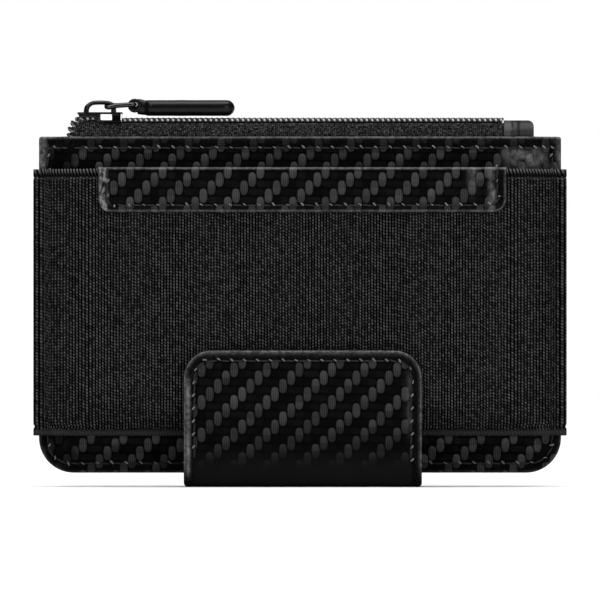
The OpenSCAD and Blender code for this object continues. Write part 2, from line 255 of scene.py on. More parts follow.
class Look:  # one material and the nodes in it
    def __init__(self, name):
        self.material = bpy.data.materials.new(name)
        self.material.use_nodes = True
        self.tree = self.material.node_tree
        self.tree.nodes.clear()

    def add(self, kind, settings=None, sockets=None, out=0):
        node = self.tree.nodes.new(kind)
        for key, value in (settings or {}).items():
            setattr(node, key, value)
        for key, value in (sockets or {}).items():
            if isinstance(value, Wire):
                self.tree.links.new(value.socket, node.inputs[key])
            else:
                node.inputs[key].default_value = value
        return Wire(self, node.outputs[out]) if node.outputs else node

    def number(self, value):
        return self.add("ShaderNodeMath", {"operation": "ADD"}, {0: float(value), 1: 0.0})

    def uv(self):  # the piece's own map, in millimetres
        split = self.add("ShaderNodeUVMap", {"uv_map": "UVMap"})
        parts = self.add("ShaderNodeSeparateXYZ", None, {0: split})
        node = parts.socket.node
        return Wire(self, node.outputs[0]), Wire(self, node.outputs[1])

    def place(self):  # object coordinates in millimetres
        at = self.add("ShaderNodeTexCoord", None, None, 3)
        big = self.add("ShaderNodeVectorMath", {"operation": "SCALE"}, {0: at, 3: 1000.0})
        node = self.add("ShaderNodeSeparateXYZ", None, {0: big}).socket.node
        return big, Wire(self, node.outputs[0]), Wire(self, node.outputs[1]), Wire(self, node.outputs[2])

    def cloud(self, at, scale, detail=3.0, rough=0.55):
        sockets = {"Vector": at, "Scale": scale, "Detail": detail, "Roughness": rough}
        return self.add("ShaderNodeTexNoise", None, sockets)

    def pebble(self, at, scale):  # distance to the nearest cell middle
        return self.add("ShaderNodeTexVoronoi", None, {"Vector": at, "Scale": scale})

    def vector(self, x, y, z):
        return self.add("ShaderNodeCombineXYZ", None, {0: x, 1: y, 2: z})

    def chance(self, a, b):  # a random number for each pair of whole numbers
        sockets = {"Vector": self.vector(a, b, 0.0)}
        return self.add("ShaderNodeTexWhiteNoise", {"noise_dimensions": "2D"}, sockets)

    def named(self, name):  # a value stored on the mesh
        return self.add("ShaderNodeAttribute", {"attribute_name": name}, None, 2)

    def tone(self, dark, light, amount):  # a colour between two
        sockets = {0: amount, 6: (*dark, 1), 7: (*light, 1)}
        return self.add("ShaderNodeMix", {"data_type": "RGBA"}, sockets, 2)

    def relief(self, height, depth, under=None, strength=1.0):  # bump of a depth in millimetres
        sockets = {"Height": height, "Distance": depth * mm, "Strength": strength}
        if under:
            sockets["Normal"] = under
        return self.add("ShaderNodeBump", None, sockets)

    def finish(self, tones, rough, bumps, others):  # tones: the dark colour, the light one and their mix
        sockets = {**others, "Base Color": self.tone(*tones), "Roughness": rough}
        if bumps:
            sockets["Normal"] = bumps
        shader = self.add("ShaderNodeBsdfPrincipled", None, sockets)
        self.add("ShaderNodeOutputMaterial", None, {0: shader})
        return self.material


# materials
weave = {"tow": 1.74, "dark": (0.0008, 0.0008, 0.0009), "light": (0.2, 0.2, 0.203), "relief": 0.16}


def weavePhase(x, z):  # shifts the weave so that one raised oval is centred at x, z
    a0 = (0.5 - x / weave["tow"]) % 1.0
    column = math.floor(x / weave["tow"] + a0)
    return a0, (column - z / weave["tow"]) % 4.0


def carbonLeather(name, phase, fade=None, start=None, bright=1.0):
    look = Look(name)
    u, v = look.uv()
    at, _, _, _ = look.place()
    a, b = u / weave["tow"] + phase[0], v / weave["tow"] + phase[1]
    column, row = a.floor(), b.floor()
    across, up = a - column, b - row
    which = (column - row) % 4.0
    upright = which < 1.5
    alongUp = (up - which + 1.0) * 0.5
    alongSide = (across + which - 2.0) * 0.5
    oval = 1.0 - (across * 1.96 - 0.98).size() ** 2.3 - (alongUp * 2.16 - 1.08).size() ** 3.2
    flat = 1.0 - (up * 2.0 - 1.0) ** 2.0 - (alongSide * 2.0 - 1.0).size() ** 6.0
    chance = look.chance(column, row - which)
    grain = look.cloud(at, 2.6, 4.0)
    fibresUp = (across * 25.0 + grain * 5.0).sin() * 0.5 + 0.5
    fibresSide = (up * 38.0 + grain * 3.0).sin() * 0.5 + 0.5
    ovalShape, flatShape = oval.step(0.0, 0.75), flat.step(0.0, 0.8)
    level = upright * ovalShape + (1.0 - upright) * flatShape * (0.34 + 0.1 * fibresSide)
    shadeUp = oval.step(0.0, 0.3) * (0.12 + 0.26 * fibresUp + 0.26 * chance) * (0.65 + 0.5 * alongUp)
    shadeSide = flatShape * fibresSide * (0.01 + 0.07 * look.chance(column + 7.0, row))
    shade = upright * shadeUp + (1.0 - upright) * shadeSide
    patch = look.cloud(at, 0.13, 2.0)
    shade = shade * (0.55 + patch * 0.9)
    if fade:  # the pattern dies out where the leather is bent
        near, far, dim = fade
        keep = v.step(near, near + (far - near) * 0.4)
        shade = shade * keep * (1.0 - dim + dim * v.step(near, far)) + 0.05 * (0.5 + patch) * (1.0 - keep)
        level = level * keep
    if start:
        shade = shade * (0.2 + 0.8 * u.step(*start))
    # painted highlight: the shine stored on each piece lightens the colour on rims, edges and strips, broken
    # up by crumple
    wearAndPaintedHighlight, plain = look.named("shine"), look.named("plain")
    crumple = look.cloud(at, 1.1, 5.0, 0.65).step(0.38, 0.62)
    wearAndPaintedHighlight = wearAndPaintedHighlight * (0.45 + 0.75 * crumple)
    smooth = plain * grain.step(0.4, 0.75) * 0.03
    shade = shade * (0.5 * bright) * (1.0 - plain) + smooth + wearAndPaintedHighlight * 0.8
    pores = look.pebble(at, 3.4)
    bumps = look.relief(level, weave["relief"])
    bumps = look.relief(pores, 0.02, bumps, 0.5)
    rough = 0.42 + 0.12 * grain - 0.08 * level
    coat = (wearAndPaintedHighlight + 0.1 * level * upright).low(1.0) * 0.3
    return look.finish((weave["dark"], weave["light"], shade.low(1.0)), rough, bumps,
                       {"Specular IOR Level": 0.02, "Coat Weight": coat, "Coat Roughness": 0.3})


def plainLeather(name, dark, light, rough=0.38, coat=0.02, gloss=0.12):
    look = Look(name)
    at, _, _, _ = look.place()
    patch, grain, pores = look.cloud(at, 0.22, 3.0), look.cloud(at, 1.9, 5.0), look.pebble(at, 4.2)
    creases = look.cloud(at, 0.8, 6.0, 0.7).step(0.42, 0.6)
    shade = patch * 0.6 + grain * 0.3 + creases * 0.25
    bumps = look.relief(pores, 0.025)
    bumps = look.relief(creases, 0.03, bumps, 0.6)
    return look.finish((dark, light, shade.low(1.0)), rough - 0.08 + grain * 0.18, bumps,
                       {"Specular IOR Level": gloss, "Coat Weight": coat, "Coat Roughness": 0.22})


ribs = {"pitch": 0.632, "dash": 0.66, "hem": 66.3, "selvedge": 12.6, "welt": 66.02, "roll": 11.6,
        "dark": (0.0004, 0.0004, 0.0004), "light": (0.135, 0.135, 0.137)}


def ribbedElastic():
    look = Look("ribbedElastic")
    u, v = look.uv()
    at, _, _, _ = look.place()
    drift = look.cloud(at, 0.35, 2.0)
    a = u / ribs["pitch"] + drift * 0.2
    rib = a.floor()
    across = a - rib
    b = v / ribs["dash"] + across * 0.55 + look.chance(rib, look.number(7.0)) * 3.0
    dash = b.floor()
    along = b - dash
    ribShape = 1.0 - (across * 2.0 - 1.0) ** 2.0
    dashShape = 1.0 - (along * 2.0 - 1.0) ** 2.0
    chance = look.chance(rib, dash)
    body = ribShape.step(0.5, 1.0) * (0.07 + 0.47 * dashShape.step(0.3, 1.0)) * (0.3 + 0.92 * chance)
    ticks = ((u + v * 0.25) / 0.62).fract()
    tickShape = (1.0 - (ticks * 2.0 - 1.0) ** 2.0).step(0.45, 0.98)
    hem = v.step(ribs["hem"] - 0.05, ribs["hem"] + 0.15)
    foot = 1.0 - v.step(ribs["selvedge"] - 0.5, ribs["selvedge"] - 0.2)
    ends = (hem + foot).low(1.0)
    welt = 1.0 - (v - ribs["welt"]).size().step(0.08, 0.26)
    roll = (1.0 - ((v - ribs["roll"]) * 1.1) ** 2.0).top(0.0)
    hemShape = tickShape * (0.06 + 0.85 * v.step(ribs["hem"] + 0.4, ribs["hem"] + 1.7))
    footShape = roll * (0.16 + 0.08 * tickShape)
    shape = body * (1.0 - ends) + welt * 0.2 + hem * hemShape + foot * footShape
    wear = 0.86 + look.cloud(at, 0.08, 3.0) * 0.28
    fuzz = look.cloud(at, 9.0, 2.0)
    shade = shape * wear * (0.72 + 0.5 * fuzz)
    lift = ribShape * (1.0 - ends) * (0.55 + 0.45 * dashShape) + tickShape * ends
    return look.finish((ribs["dark"], ribs["light"], shade.low(1.0)), 0.62 + 0.2 * fuzz,
                       look.relief(lift, 0.16), {"Specular IOR Level": 0.005})


def wovenCloth(name, dark, light, pitch, depth, relief=0.08):
    look = Look(name)
    at, x, y, z = look.place()
    a, b = (x + y * 0.6) / pitch, (z + y * 0.5) / pitch
    over = ((a.floor() + b.floor()) % 2.0) < 0.5
    fa, fb = a.fract(), b.fract()
    warp = (1.0 - (fa * 2.0 - 1.0) ** 2.0) * (0.6 + 0.4 * over)
    weft = (1.0 - (fb * 2.0 - 1.0) ** 2.0) * (1.0 - 0.4 * over)
    chance = look.chance(a.floor(), b.floor())
    speck = look.cloud(at, 2.8, 3.0).step(0.4, 0.64)
    shape = warp.top(weft)
    shade = shape.step(0.3, 1.0) * (0.15 + 0.55 * chance) * (1.0 - depth + depth * speck)
    return look.finish((dark, light, shade.low(1.0)), 0.7 + 0.2 * speck, look.relief(shape, relief),
                       {"Specular IOR Level": 0.04})


def darkMetal(name, tint, rough):
    look = Look(name)
    at, x, y, z = look.place()
    smear = look.cloud(at, 0.9, 4.0)
    scuffs = look.cloud(look.vector(x * 6.0, y * 6.0, z * 0.8), 1.4, 4.0).step(0.5, 0.8)
    wear = smear * 0.5 + scuffs * 0.5
    # the lighter tone where the metal is smeared and scuffed
    wearAndPaintedHighlight = tuple(min(1.0, c * 1.5) for c in tint)
    return look.finish((tint, wearAndPaintedHighlight, wear), rough + 0.14 * wear, look.relief(scuffs, 0.006),
                       {"Metallic": 1.0, "Specular IOR Level": 0.5})


def sewingThread():
    look = Look("blackThread")
    at, x, y, z = look.place()
    twist = ((x + z) * 16.0).sin() * 0.5 + 0.5
    fuzz = look.cloud(at, 7.0, 2.0)
    shade = twist * 0.6 + fuzz * 0.4
    return look.finish(((0.004, 0.004, 0.004), (0.035, 0.035, 0.036), shade), 0.42 + 0.2 * fuzz,
                       look.relief(twist, 0.03), {"Specular IOR Level": 0.1})


def bandedLeather():  # the tab at the zip's right end: a pale strip, a crease darkened with painted shade and a soft shoulder with a painted highlight
    look = Look("tabLeather")
    at, x, y, z = look.place()
    left = boxMm("zip_end_tab")[0]
    grain, creases = look.cloud(at, 1.6, 5.0), look.cloud(at, 0.9, 6.0, 0.7).step(0.4, 0.62)
    strip = (x - left).step(-0.3, 0.1) * (1.0 - (x - left).step(1.5, 1.8))
    # painted shade darkens the colour along the crease, and a painted highlight lightens the band across the
    # top shoulder
    crease = (x - left - 3.1).size().step(0.1, 0.45)
    paintedTopHighlight = (z - 76.0).step(0.0, 1.2) * (1.0 - (z - 77.6).step(0.0, 0.7))
    shade = (0.14 + strip * 0.24 + paintedTopHighlight * 0.36) * (0.25 + 0.75 * crease)
    shade = shade * (0.6 + 0.5 * grain + 0.3 * creases)
    return look.finish(((0.002, 0.002, 0.002), (0.16, 0.16, 0.162), shade.low(1.0)), 0.34 + grain * 0.18,
                       look.relief(crease * 0.6 + creases * 0.2, 0.12),
                       {"Specular IOR Level": 0.1, "Coat Weight": 0.04, "Coat Roughness": 0.25})


def nylon():  # coil wire, with a glint on the upper side of every turn
    look = Look("nylonTeeth")
    at, x, y, z = look.place()
    streak = look.cloud(at, 3.0, 3.0)
    turn = look.named("turn")
    level = x.step(-46.4, -45.4)
    glint = 1.0 - ((turn - 0.5).size() - 0.265).size().step(0.003, 0.018 + 0.03 * level)
    glint = glint * (0.55 + 0.45 * level)
    shade = 0.05 * streak + glint * 0.95
    return look.finish(((0.0015, 0.0015, 0.0015), (0.5, 0.5, 0.505), shade), 0.2 + 0.16 * streak,
                       look.relief(streak, 0.01),
                       {"Specular IOR Level": 0.3, "Coat Weight": 0.15 + glint * 0.5, "Coat Roughness": 0.12})


def stiffBoard():
    look = Look("stiffBoard")
    at, x, y, z = look.place()
    fibres = look.cloud(look.vector(x * 0.4, y, z * 3.0), 1.2, 5.0)
    specks = look.pebble(at, 1.1).step(0.1, 0.5)
    shade = fibres * 0.7 + specks * 0.3
    return look.finish(((0.16, 0.14, 0.11), (0.34, 0.3, 0.24), shade), 0.75 + 0.15 * fibres,
                       look.relief(fibres, 0.03), {"Specular IOR Level": 0.25})


skins = {
    "panel": carbonLeather("panelCarbonLeather", weavePhase(-39.55, 71.5), None, (-49.5, -46.5)),
    "back": carbonLeather("backCarbonLeather", weavePhase(-39.55, 71.5)),
    "trim": carbonLeather("trimCarbonLeather", weavePhase(-38.07, 65.7)),
    "clip": carbonLeather("clipCarbonLeather", weavePhase(-14.09, 25.07), (3.4, 19.0, 0.55), None, 0.82),
    "strap": carbonLeather("strapCarbonLeather", weavePhase(-14.09, -30.0), (-16.0, -22.0, 0.3)),
    "edge": plainLeather("paintedEdge", (0.003, 0.003, 0.0032), (0.03, 0.03, 0.031), 0.4, 0.02),
    "smooth": plainLeather("smoothLeather", (0.0012, 0.0012, 0.0013), (0.0045, 0.0045, 0.0047),
                           0.34, 0.22, 0.05),
    "tab": bandedLeather(),
    "suede": plainLeather("innerLeather", (0.015, 0.015, 0.016), (0.05, 0.05, 0.052), 0.6, 0.0),
    # the puckers beside the stitches get a lighter copy of the leather, a painted highlight on each pucker
    "pucker": plainLeather("stitchPuckerPaintedHighlight", (0.035, 0.035, 0.036), (0.2, 0.2, 0.204), 0.4, 0.05),
    "elastic": ribbedElastic(),
    "tape": wovenCloth("zipTapeWeave", (0.0012, 0.0012, 0.0012), (0.18, 0.18, 0.182), 0.42, 0.9),
    "lining": wovenCloth("pouchLining", (0.03, 0.03, 0.033), (0.11, 0.11, 0.115), 0.3, 0.3, 0.04),
    "teeth": nylon(),
    "metal": darkMetal("gunmetal", (0.024, 0.024, 0.026), 0.16),
    "wire": darkMetal("linkWire", (0.042, 0.042, 0.044), 0.11),
    # a light copy of the gunmetal: the painted reflection on the slider's cheeks
    "polished": darkMetal("paintedReflectionGunmetal", (0.8, 0.8, 0.81), 0.1),
    "magnet": darkMetal("nickelMagnet", (0.55, 0.55, 0.54), 0.3),
    "thread": sewingThread(),
    "board": stiffBoard(),
}
print("materials made")

# pouch panels
pouch = {"leather": 1.2, "lining": 0.3, "border": 4.0, "slopeSide": 2.4, "slopeFoot": 3.0, "cornerFoot": 7.5,
         "cornerTop": 0.6, "edgeRadius": 0.5, "stitchTop": 2.5, "stitchSide": 1.9, "stitchFoot": 2.0,
         "groove": 0.22, "grooveWide": 0.42, "topBand": 6}
_, faceY, pz0, half, panelBackY, pz1 = boxMm("front_panel")
seamY = panelBackY - pouch["leather"]
rise = seamY - faceY


def pouchInset(x, z):
    return insetIn(x, z, -half, half, pz0, pz1, pouch["cornerFoot"], pouch["cornerTop"])


def pouchRise(x, z):  # how far the front panel stands in front of its sewn border
    side = clamp((half - abs(x) - pouch["border"]) / pouch["slopeSide"])
    foot = clamp((z - pz0 - pouch["border"] + 0.4) / pouch["slopeFoot"])
    corner = clamp((pouchInset(x, z) - pouch["border"] + 0.6) / pouch["slopeSide"]) if z < pz0 + 14 else 1.0
    return rise * min(side, foot, corner)


def leatherSkin(x, z, d, lines):  # raised rim, stitch grooves and puckers on a leather face
    lift = -roundOff(d, pouch["edgeRadius"]) + 0.05 * wobble(x, z, 3.0, 9.0)
    for inset, depth in lines:
        lift -= depth * bead(d, inset, pouch["grooveWide"])
        lift += depth * 0.5 * bead(d, inset - 0.95, 0.5)
    return lift


def frontOuter(z, t):
    w = halfWidthAt(z, half, pz0, pz1, pouch["cornerFoot"], pouch["cornerTop"])
    x = t / half * w
    d = pouchInset(x, z)
    lines = [(pouch["stitchSide"], pouch["groove"])]
    if pz1 - z < pouch["topBand"]:
        lines = [(pouch["stitchTop"], pouch["groove"])]
    return x, seamY - pouchRise(x, z) - leatherSkin(x, z, d, lines), z


def frontInner(z, t):
    x, _, z = frontOuter(z, t)
    d = pouchInset(x, z)
    return x, seamY - pouchRise(x, z) + pouch["leather"] - 0.5 * roundOff(d, 0.25), z


panelRows = [pz0 + d for d in edgeSteps(pz1 - pz0, fineEdge, 0.9)]
panelColumns = [-half + d for d in edgeSteps(2 * half, fineEdge + [4.0, 4.6, 5.2, 5.8, 6.4, 7.0], 1.1)]


def flatMap(z, t):
    x = t / half * halfWidthAt(z, half, pz0, pz1, pouch["cornerFoot"], pouch["cornerTop"])
    return x, z


bandTop = boxMm("elastic_band")[5]
# painted highlight on the panels: strengths along the top rim, the edges, a left strip, the right rim and a
# patch at the top right
panelPaintedHighlight = {"rim": 0.4, "edge": 0.16, "leftStrip": 1.0, "rightPatch": 0.85, "rightRim": 0.3}


# painted highlight for each point of a panel, and how smooth it is there
def panelShine(z, t):
    x, y, z = frontOuter(z, t)
    top, left, d = pz1 - z, x + half, pouchInset(x, z)
    bright = panelPaintedHighlight["rim"] * bead(top, 0.15, 0.24) + panelPaintedHighlight["edge"] * bead(d, 0.2, 0.25)
    if z > bandTop:
        bright += panelPaintedHighlight["leftStrip"] * (1 - ease(left, 1.0, 2.0)) * (0.5 + 0.5 * wobble(x * 2, z, 1, 1.2))
        bright += panelPaintedHighlight["rightRim"] * bead(half - x, 0.5, 0.6)
        patch = ease(x, 42, 47) * (1 - ease(x, 52, 54)) * ease(top, 2.0, 3.6)
        bright += panelPaintedHighlight["rightPatch"] * patch * clamp(0.45 + 0.8 * wobble(x, z, 3, 1.6))
    below = ease(top, 2.0, 2.9)
    return clamp(bright), 0.7 * (1 - below) + 0.3 * (1 - ease(d, 1.0, 2.2)) * below


frontPanel = skinSolid("frontPanelLeather", panelRows, panelColumns, frontOuter, frontInner,
                       [skins["panel"], skins["suede"], skins["edge"]], flatMap, panelShine)
settle(frontPanel, "wallet", "carbon_leather", "front_panel")

backY = boxMm("back_panel")[4]


def backOuter(z, t):
    x, _, z = frontOuter(z, t)
    d = pouchInset(x, z)
    inset = pouch["stitchTop"] if pz1 - z < pouch["topBand"] else pouch["stitchSide"]
    return x, backY + leatherSkin(x, z, d, [(inset, pouch["groove"])]) - 0.02, z


def backInner(z, t):
    x, _, z = frontOuter(z, t)
    return x, backY - pouch["leather"] + 0.5 * roundOff(pouchInset(x, z), 0.25), z


backPanel = skinSolid("backPanelLeather", panelRows, panelColumns, backOuter, backInner,
                      [skins["back"], skins["suede"], skins["edge"]], flatMap, panelShine)
settle(backPanel, "wallet", "carbon_leather", "back_panel")

# linings follow the inside of each panel
lz1 = boxMm("back_lining")[5]
liningInset = 0.6
liningFoot, liningHalf = pz0 + liningInset, half - liningInset
liningRows = [liningFoot + d for d in edgeSteps(lz1 - liningFoot, [0, 1, 2, 3, 4, 5, 6, 7], 2.2)]
liningColumns = [c * liningHalf / half for c in panelColumns[::2]]
if liningColumns[-1] < liningHalf - 1e-6:
    liningColumns.append(liningHalf)


def liningSpot(z, t):
    w = halfWidthAt(z, liningHalf, liningFoot, lz1 + 9, pouch["cornerFoot"] - liningInset, 0.5)
    return t / liningHalf * w


def liningPiece(name, yAt, node):
    piece = skinSolid(name, liningRows, liningColumns,
                      lambda z, t: (liningSpot(z, t), yAt(liningSpot(z, t), z) + 0.02, z),
                      lambda z, t: (liningSpot(z, t), yAt(liningSpot(z, t), z) + pouch["lining"] - 0.02, z),
                      [skins["lining"]], lambda z, t: (liningSpot(z, t), z))
    settle(piece, "wallet", "lining", node)


liningPiece("frontLiningCloth", lambda x, z: seamY - pouchRise(x, z) + pouch["leather"], "front_lining")
liningPiece("backLiningCloth", lambda x, z: backY - pouch["leather"] - pouch["lining"], "back_lining")
print("pouch made")

# elastic band
band = {"thick": 1.0, "hemHeight": 1.75, "hemExtra": 0.22, "footHeight": 1.5, "slopeStart": 2.0,
        "slopeEnd": 6.1, "back": 8.0, "seam": 54.6, "hemSide": 56.4, "step": 0.62}
ex0, bandFrontY, ez0, ex1, _, ez1 = boxMm("elastic_band")
innerPlateauY = bandFrontY + band["thick"]
baseX = half - pouch["border"]
sectionRight = [(0, innerPlateauY), (baseX - 8.6, innerPlateauY), (baseX - 5.4, innerPlateauY + 0.9),
                (baseX - 1.1, faceY + 0.1), (baseX + 0.9, seamY - 0.5), (baseX + 1.7, seamY - 0.02),
                (half - 0.5, seamY - 0.02), (half + 0.4, seamY + 0.1), (half + 0.4, backY - 0.2),
                (half - 0.35, backY + 0.02), (half - 4, backY + 0.02), (half - band["back"], backY + 0.02)]


def cutCorners(points, times):
    for _ in range(times):
        made = [points[0]]
        for (ax, ay), (bx, by) in zip(points, points[1:]):
            made += [(ax * f + bx * (1 - f), ay * f + by * (1 - f)) for f in (0.75, 0.25)]
        points = made + [points[-1]]
    return points


def evenly(points, step):  # the same line with even spacing, and the distance along it
    lengths = [0.0]
    for p, q in zip(points, points[1:]):
        lengths.append(lengths[-1] + math.dist(p, q))
    count = max(2, round(lengths[-1] / step))
    made, k = [], 0
    for n in range(count + 1):
        s = lengths[-1] * n / count
        while k < len(points) - 2 and lengths[k + 1] < s:
            k += 1
        f = (s - lengths[k]) / (lengths[k + 1] - lengths[k])
        made.append(tuple(a + f * (b - a) for a, b in zip(points[k], points[k + 1])))
    return made, lengths[-1]


rightLine = cutCorners(sectionRight, 2)
wholeLine = [(-x, y) for x, y in reversed(rightLine[1:])] + rightLine
bandLine, bandLength = evenly(wholeLine, band["step"])
bandNormals = []
for k in range(len(bandLine)):
    (ax, ay), (bx, by) = bandLine[max(0, k - 1)], bandLine[min(len(bandLine) - 1, k + 1)]
    length = math.hypot(bx - ax, by - ay)
    bandNormals.append(((by - ay) / length, -(bx - ax) / length))


def bandFoot(y, z):  # below the pocket the band comes in to the panel
    up = clamp((z - ez0 - band["slopeStart"]) / (band["slopeEnd"] - band["slopeStart"]))
    limit = faceY + 0.02 - (faceY - innerPlateauY) * up
    return max(y, limit) if y < faceY + 0.02 else y


def bandThickness(x, z):
    hemZ = ez1 - band["hemHeight"]
    t = band["thick"] - 0.04 - 0.35 * roundOff(ez1 - z, 0.5)
    t += band["hemExtra"] * ease(band["hemSide"] - abs(x), 0, 1.5) * ease(z, hemZ, hemZ + 0.3)
    t -= 0.3 * bead(z, hemZ - 0.05, 0.2)
    t -= 0.42 * bead(z, ez0 + band["footHeight"] + 0.4, 0.45)
    t += 0.12 * bead(z, ez0 + 0.75, 0.5) - 0.35 * roundOff(z - ez0, 0.5)
    t -= 0.25 * bead(abs(x), band["seam"], 0.4)
    return t + 0.03 * wobble(x, z, 1.0, 7.0)


def bandInner(z, k):
    x, y = bandLine[k]
    return x, bandFoot(y, z), z


def bandOuter(z, k):
    x, y = bandLine[k]
    nx, ny = bandNormals[k]
    t = bandThickness(x, z) if y < backY - 0.5 else bandThickness(0, z)
    x2, y2 = x + nx * t, bandFoot(y, z) + ny * t
    return clamp(x2, ex0, ex1), y2, z


bandAcross = [0.0]
for (ax, ay), (bx, by) in zip(bandLine, bandLine[1:]):  # the ribs keep an even pitch seen from in front
    inFront = abs(ax + bx) < 2 * half - 1
    bandAcross.append(bandAcross[-1] + (abs(bx - ax) if inFront else math.dist((ax, ay), (bx, by))))


def bandMap(z, k):
    return bandAcross[k] - bandAcross[-1] / 2, z


bandFine = [0, 0.15, 0.35, 0.6, 0.9, 1.2, 1.5, 1.75, 2.05, 2.4, 2.9, 3.6, 4.4, 5.2, 6.0]
bandRows = [ez0 + d for d in edgeSteps(ez1 - ez0, bandFine, 1.3)]
elastic = skinSolid("elasticBandCloth", bandRows, list(range(len(bandLine))), bandOuter, bandInner,
                    [skins["elastic"]], bandMap)
settle(elastic, "wallet", "elastic", "elastic_band")
bandLength * mm
print("elastic made", round(bandLength, 1))

# folded trim on the pocket
trim = {"thick": 0.8, "back": 0.6, "corner": 2.8, "rim": 0.16, "rimAt": 0.7, "stitchSide": 2.0,
        "stitchFoot": 1.5, "turn": 0.9, "backTall": 6.4}
tx0, trimFrontY, tz0, tx1, trimBackY, tz1 = boxMm("pocket_trim")
trimMid, trimHalf = (tx0 + tx1) / 2, (tx1 - tx0) / 2
trimTurn = tz1 - trim["turn"]  # where the leather starts to turn over the band's edge
topR = (trimBackY - trimFrontY) / 2
trimRows = [("front", tz0 + d) for d in edgeSteps(trimTurn - tz0, fineEdge, 0.6)]
trimRows += [("over", a) for a in (10, 25, 40, 60, 80, 100, 120, 140, 155, 170)]
trimRows += [("back", trimTurn - d) for d in edgeSteps(trim["backTall"] - trim["turn"], [0, 0.3], 1.0)]


def trimSpot(row, out):
    kind, value = row
    midY = (trimFrontY + trimBackY) / 2
    if kind == "front":
        return (trimFrontY if out else trimFrontY + trim["thick"]), value
    if kind == "back":
        return (trimBackY if out else trimBackY - trim["back"]), value
    a = math.radians(value)
    reach, high = (topR, trim["turn"]) if out else (topR - 0.72, 0.35)
    return midY - reach * math.cos(a), trimTurn + high * math.sin(a) ** 0.8


def trimInset(x, z):
    return insetIn(x, z, tx0, tx1, tz0, tz1 + 20, trim["corner"], 0.1)


def trimX(row, t):
    kind, value = row
    if kind == "front":
        return trimMid + t / trimHalf * halfWidthAt(value, trimHalf, tz0, tz1 + 20, trim["corner"], 0.1)
    return trimMid + t


def trimOuter(row, t):
    y, z = trimSpot(row, True)
    x = trimX(row, t)
    if row[0] == "front":
        d = trimInset(x, z)
        side = tx1 - x if x > trimMid else x - tx0
        lift = -roundOff(d, 0.35) + trim["rim"] * bead(d, trim["rimAt"], 0.55)
        lift -= 0.22 * bead(d, 1.75 if z < tz0 + 3 else 2.0, 0.4)
        crumple = ease(3.2 - side, 0, 2.4) if x < trimMid else 0.35 * ease(2.6 - side, 0, 2)
        lift += crumple * 0.16 * wobble(x * 1.6, z, 4.0, 1.3)
        lift += 0.04 * wobble(x, z, 6.0, 6.0)
        lift *= ease(tz1 - z, 0.0, trim["turn"])
        y -= lift
    return x, y, z


def trimInner(row, t):
    y, z = trimSpot(row, False)
    return trimX(row, t), y, z


def trimMap(row, t):
    kind, value = row
    if kind == "front":
        return trimX(row, t), value
    if kind == "over":
        return trimX(row, t), trimTurn + 3.0 * value / 180
    return trimX(row, t), tz1 + 2.1 + (trimTurn - value)


trimColumns = [-trimHalf + d for d in edgeSteps(2 * trimHalf, fineEdge, 0.9)]
# painted highlight on the trim: strengths along the top rim, the edges, a left strip, a right crease line and
# a right patch, and the most it may reach
trimPaintedHighlight = {"rim": 0.45, "edge": 0.42, "leftStrip": 1.5, "rightCrease": 0.95, "rightPatch": 0.4, "most": 1.5}


# painted highlight for each point of the trim, and how smooth it is there
def trimShine(row, t):
    x, y, z = trimOuter(row, t)
    if row[0] == "back":
        return 0.0, 0.0
    top, left, right, d = tz1 - z, x - tx0, tx1 - x, trimInset(x, z)
    bright = trimPaintedHighlight["rim"] * bead(top, 0.25, 0.22) + trimPaintedHighlight["edge"] * bead(d, 0.3, 0.2)
    strip = (1 - ease(left, 1.3, 2.3)) * ease(left, 0.1, 0.5)
    bright += trimPaintedHighlight["leftStrip"] * strip * clamp(0.35 + 1.2 * wobble(x * 2.4, z * 0.8, 2, 0.9))
    bright += trimPaintedHighlight["rightCrease"] * bead(right, 3.1, 0.45) * clamp(0.6 + 0.7 * wobble(x * 2, z, 5, 1.4))
    bright += trimPaintedHighlight["rightPatch"] * bead(right, 7.3, 0.8) * ease(z, tz0 + 2, tz1 - 1)
    plain = max(1 - ease(left, 1.9, 2.6), 1 - ease(right, 1.9, 2.6), 0.45 * (1 - ease(z - tz0, 1.1, 1.9)))
    return clamp(bright, 0, trimPaintedHighlight["most"]), plain


trimPiece = skinSolid("pocketTrimLeather", trimRows, trimColumns, trimOuter, trimInner,
                      [skins["trim"], skins["suede"], skins["edge"]], trimMap, trimShine)
settle(trimPiece, "wallet", "carbon_leather", "pocket_trim")
print("trim made")

# clip strap, fold and leaf
clip = {"strap": 1.6, "leaf": 2.4, "bend": 3.0, "leafCorner": 6.0, "rootCorner": 2.0, "edge": 0.75,
        "rim": 0.2, "rimAt": 0.95, "stitch": 2.3, "dome": 0.16}
cx0, clipFrontY, _, cx1, _, leafTop = boxMm("clip_leaf")
clipBackY, rootTop = boxMm("clip_strap")[4:]
foldBox = boxMm("clip_fold")
clipMid, clipHalf, bend = (cx0 + cx1) / 2, (cx1 - cx0) / 2, clip["bend"]
splitY = foldBox[4]  # where the fold meets the strap under the pouch
quarter = math.pi / 2 * bend
underLength = clipBackY - clipFrontY - 2 * bend


def clipLine(s):  # outer line of the clip at distance s down from the leaf's top: y, z and outward direction
    legs = leafTop - bend
    if s < legs:
        return clipFrontY, leafTop - s, -1.0, 0.0
    s -= legs
    if s < quarter:
        a = s / bend
        return clipFrontY + bend - bend * math.cos(a), bend - bend * math.sin(a), -math.cos(a), -math.sin(a)
    s -= quarter
    if s < underLength:
        return clipFrontY + bend + s, 0.0, 0.0, -1.0
    s -= underLength
    if s < quarter:
        a = s / bend
        return clipBackY - bend + bend * math.sin(a), bend - bend * math.cos(a), math.sin(a), -math.cos(a)
    return clipBackY, bend + s - quarter, 1.0, 0.0


splitS = leafTop - bend + quarter + splitY - clipFrontY - bend
endS = leafTop - bend + 2 * quarter + underLength + rootTop - bend


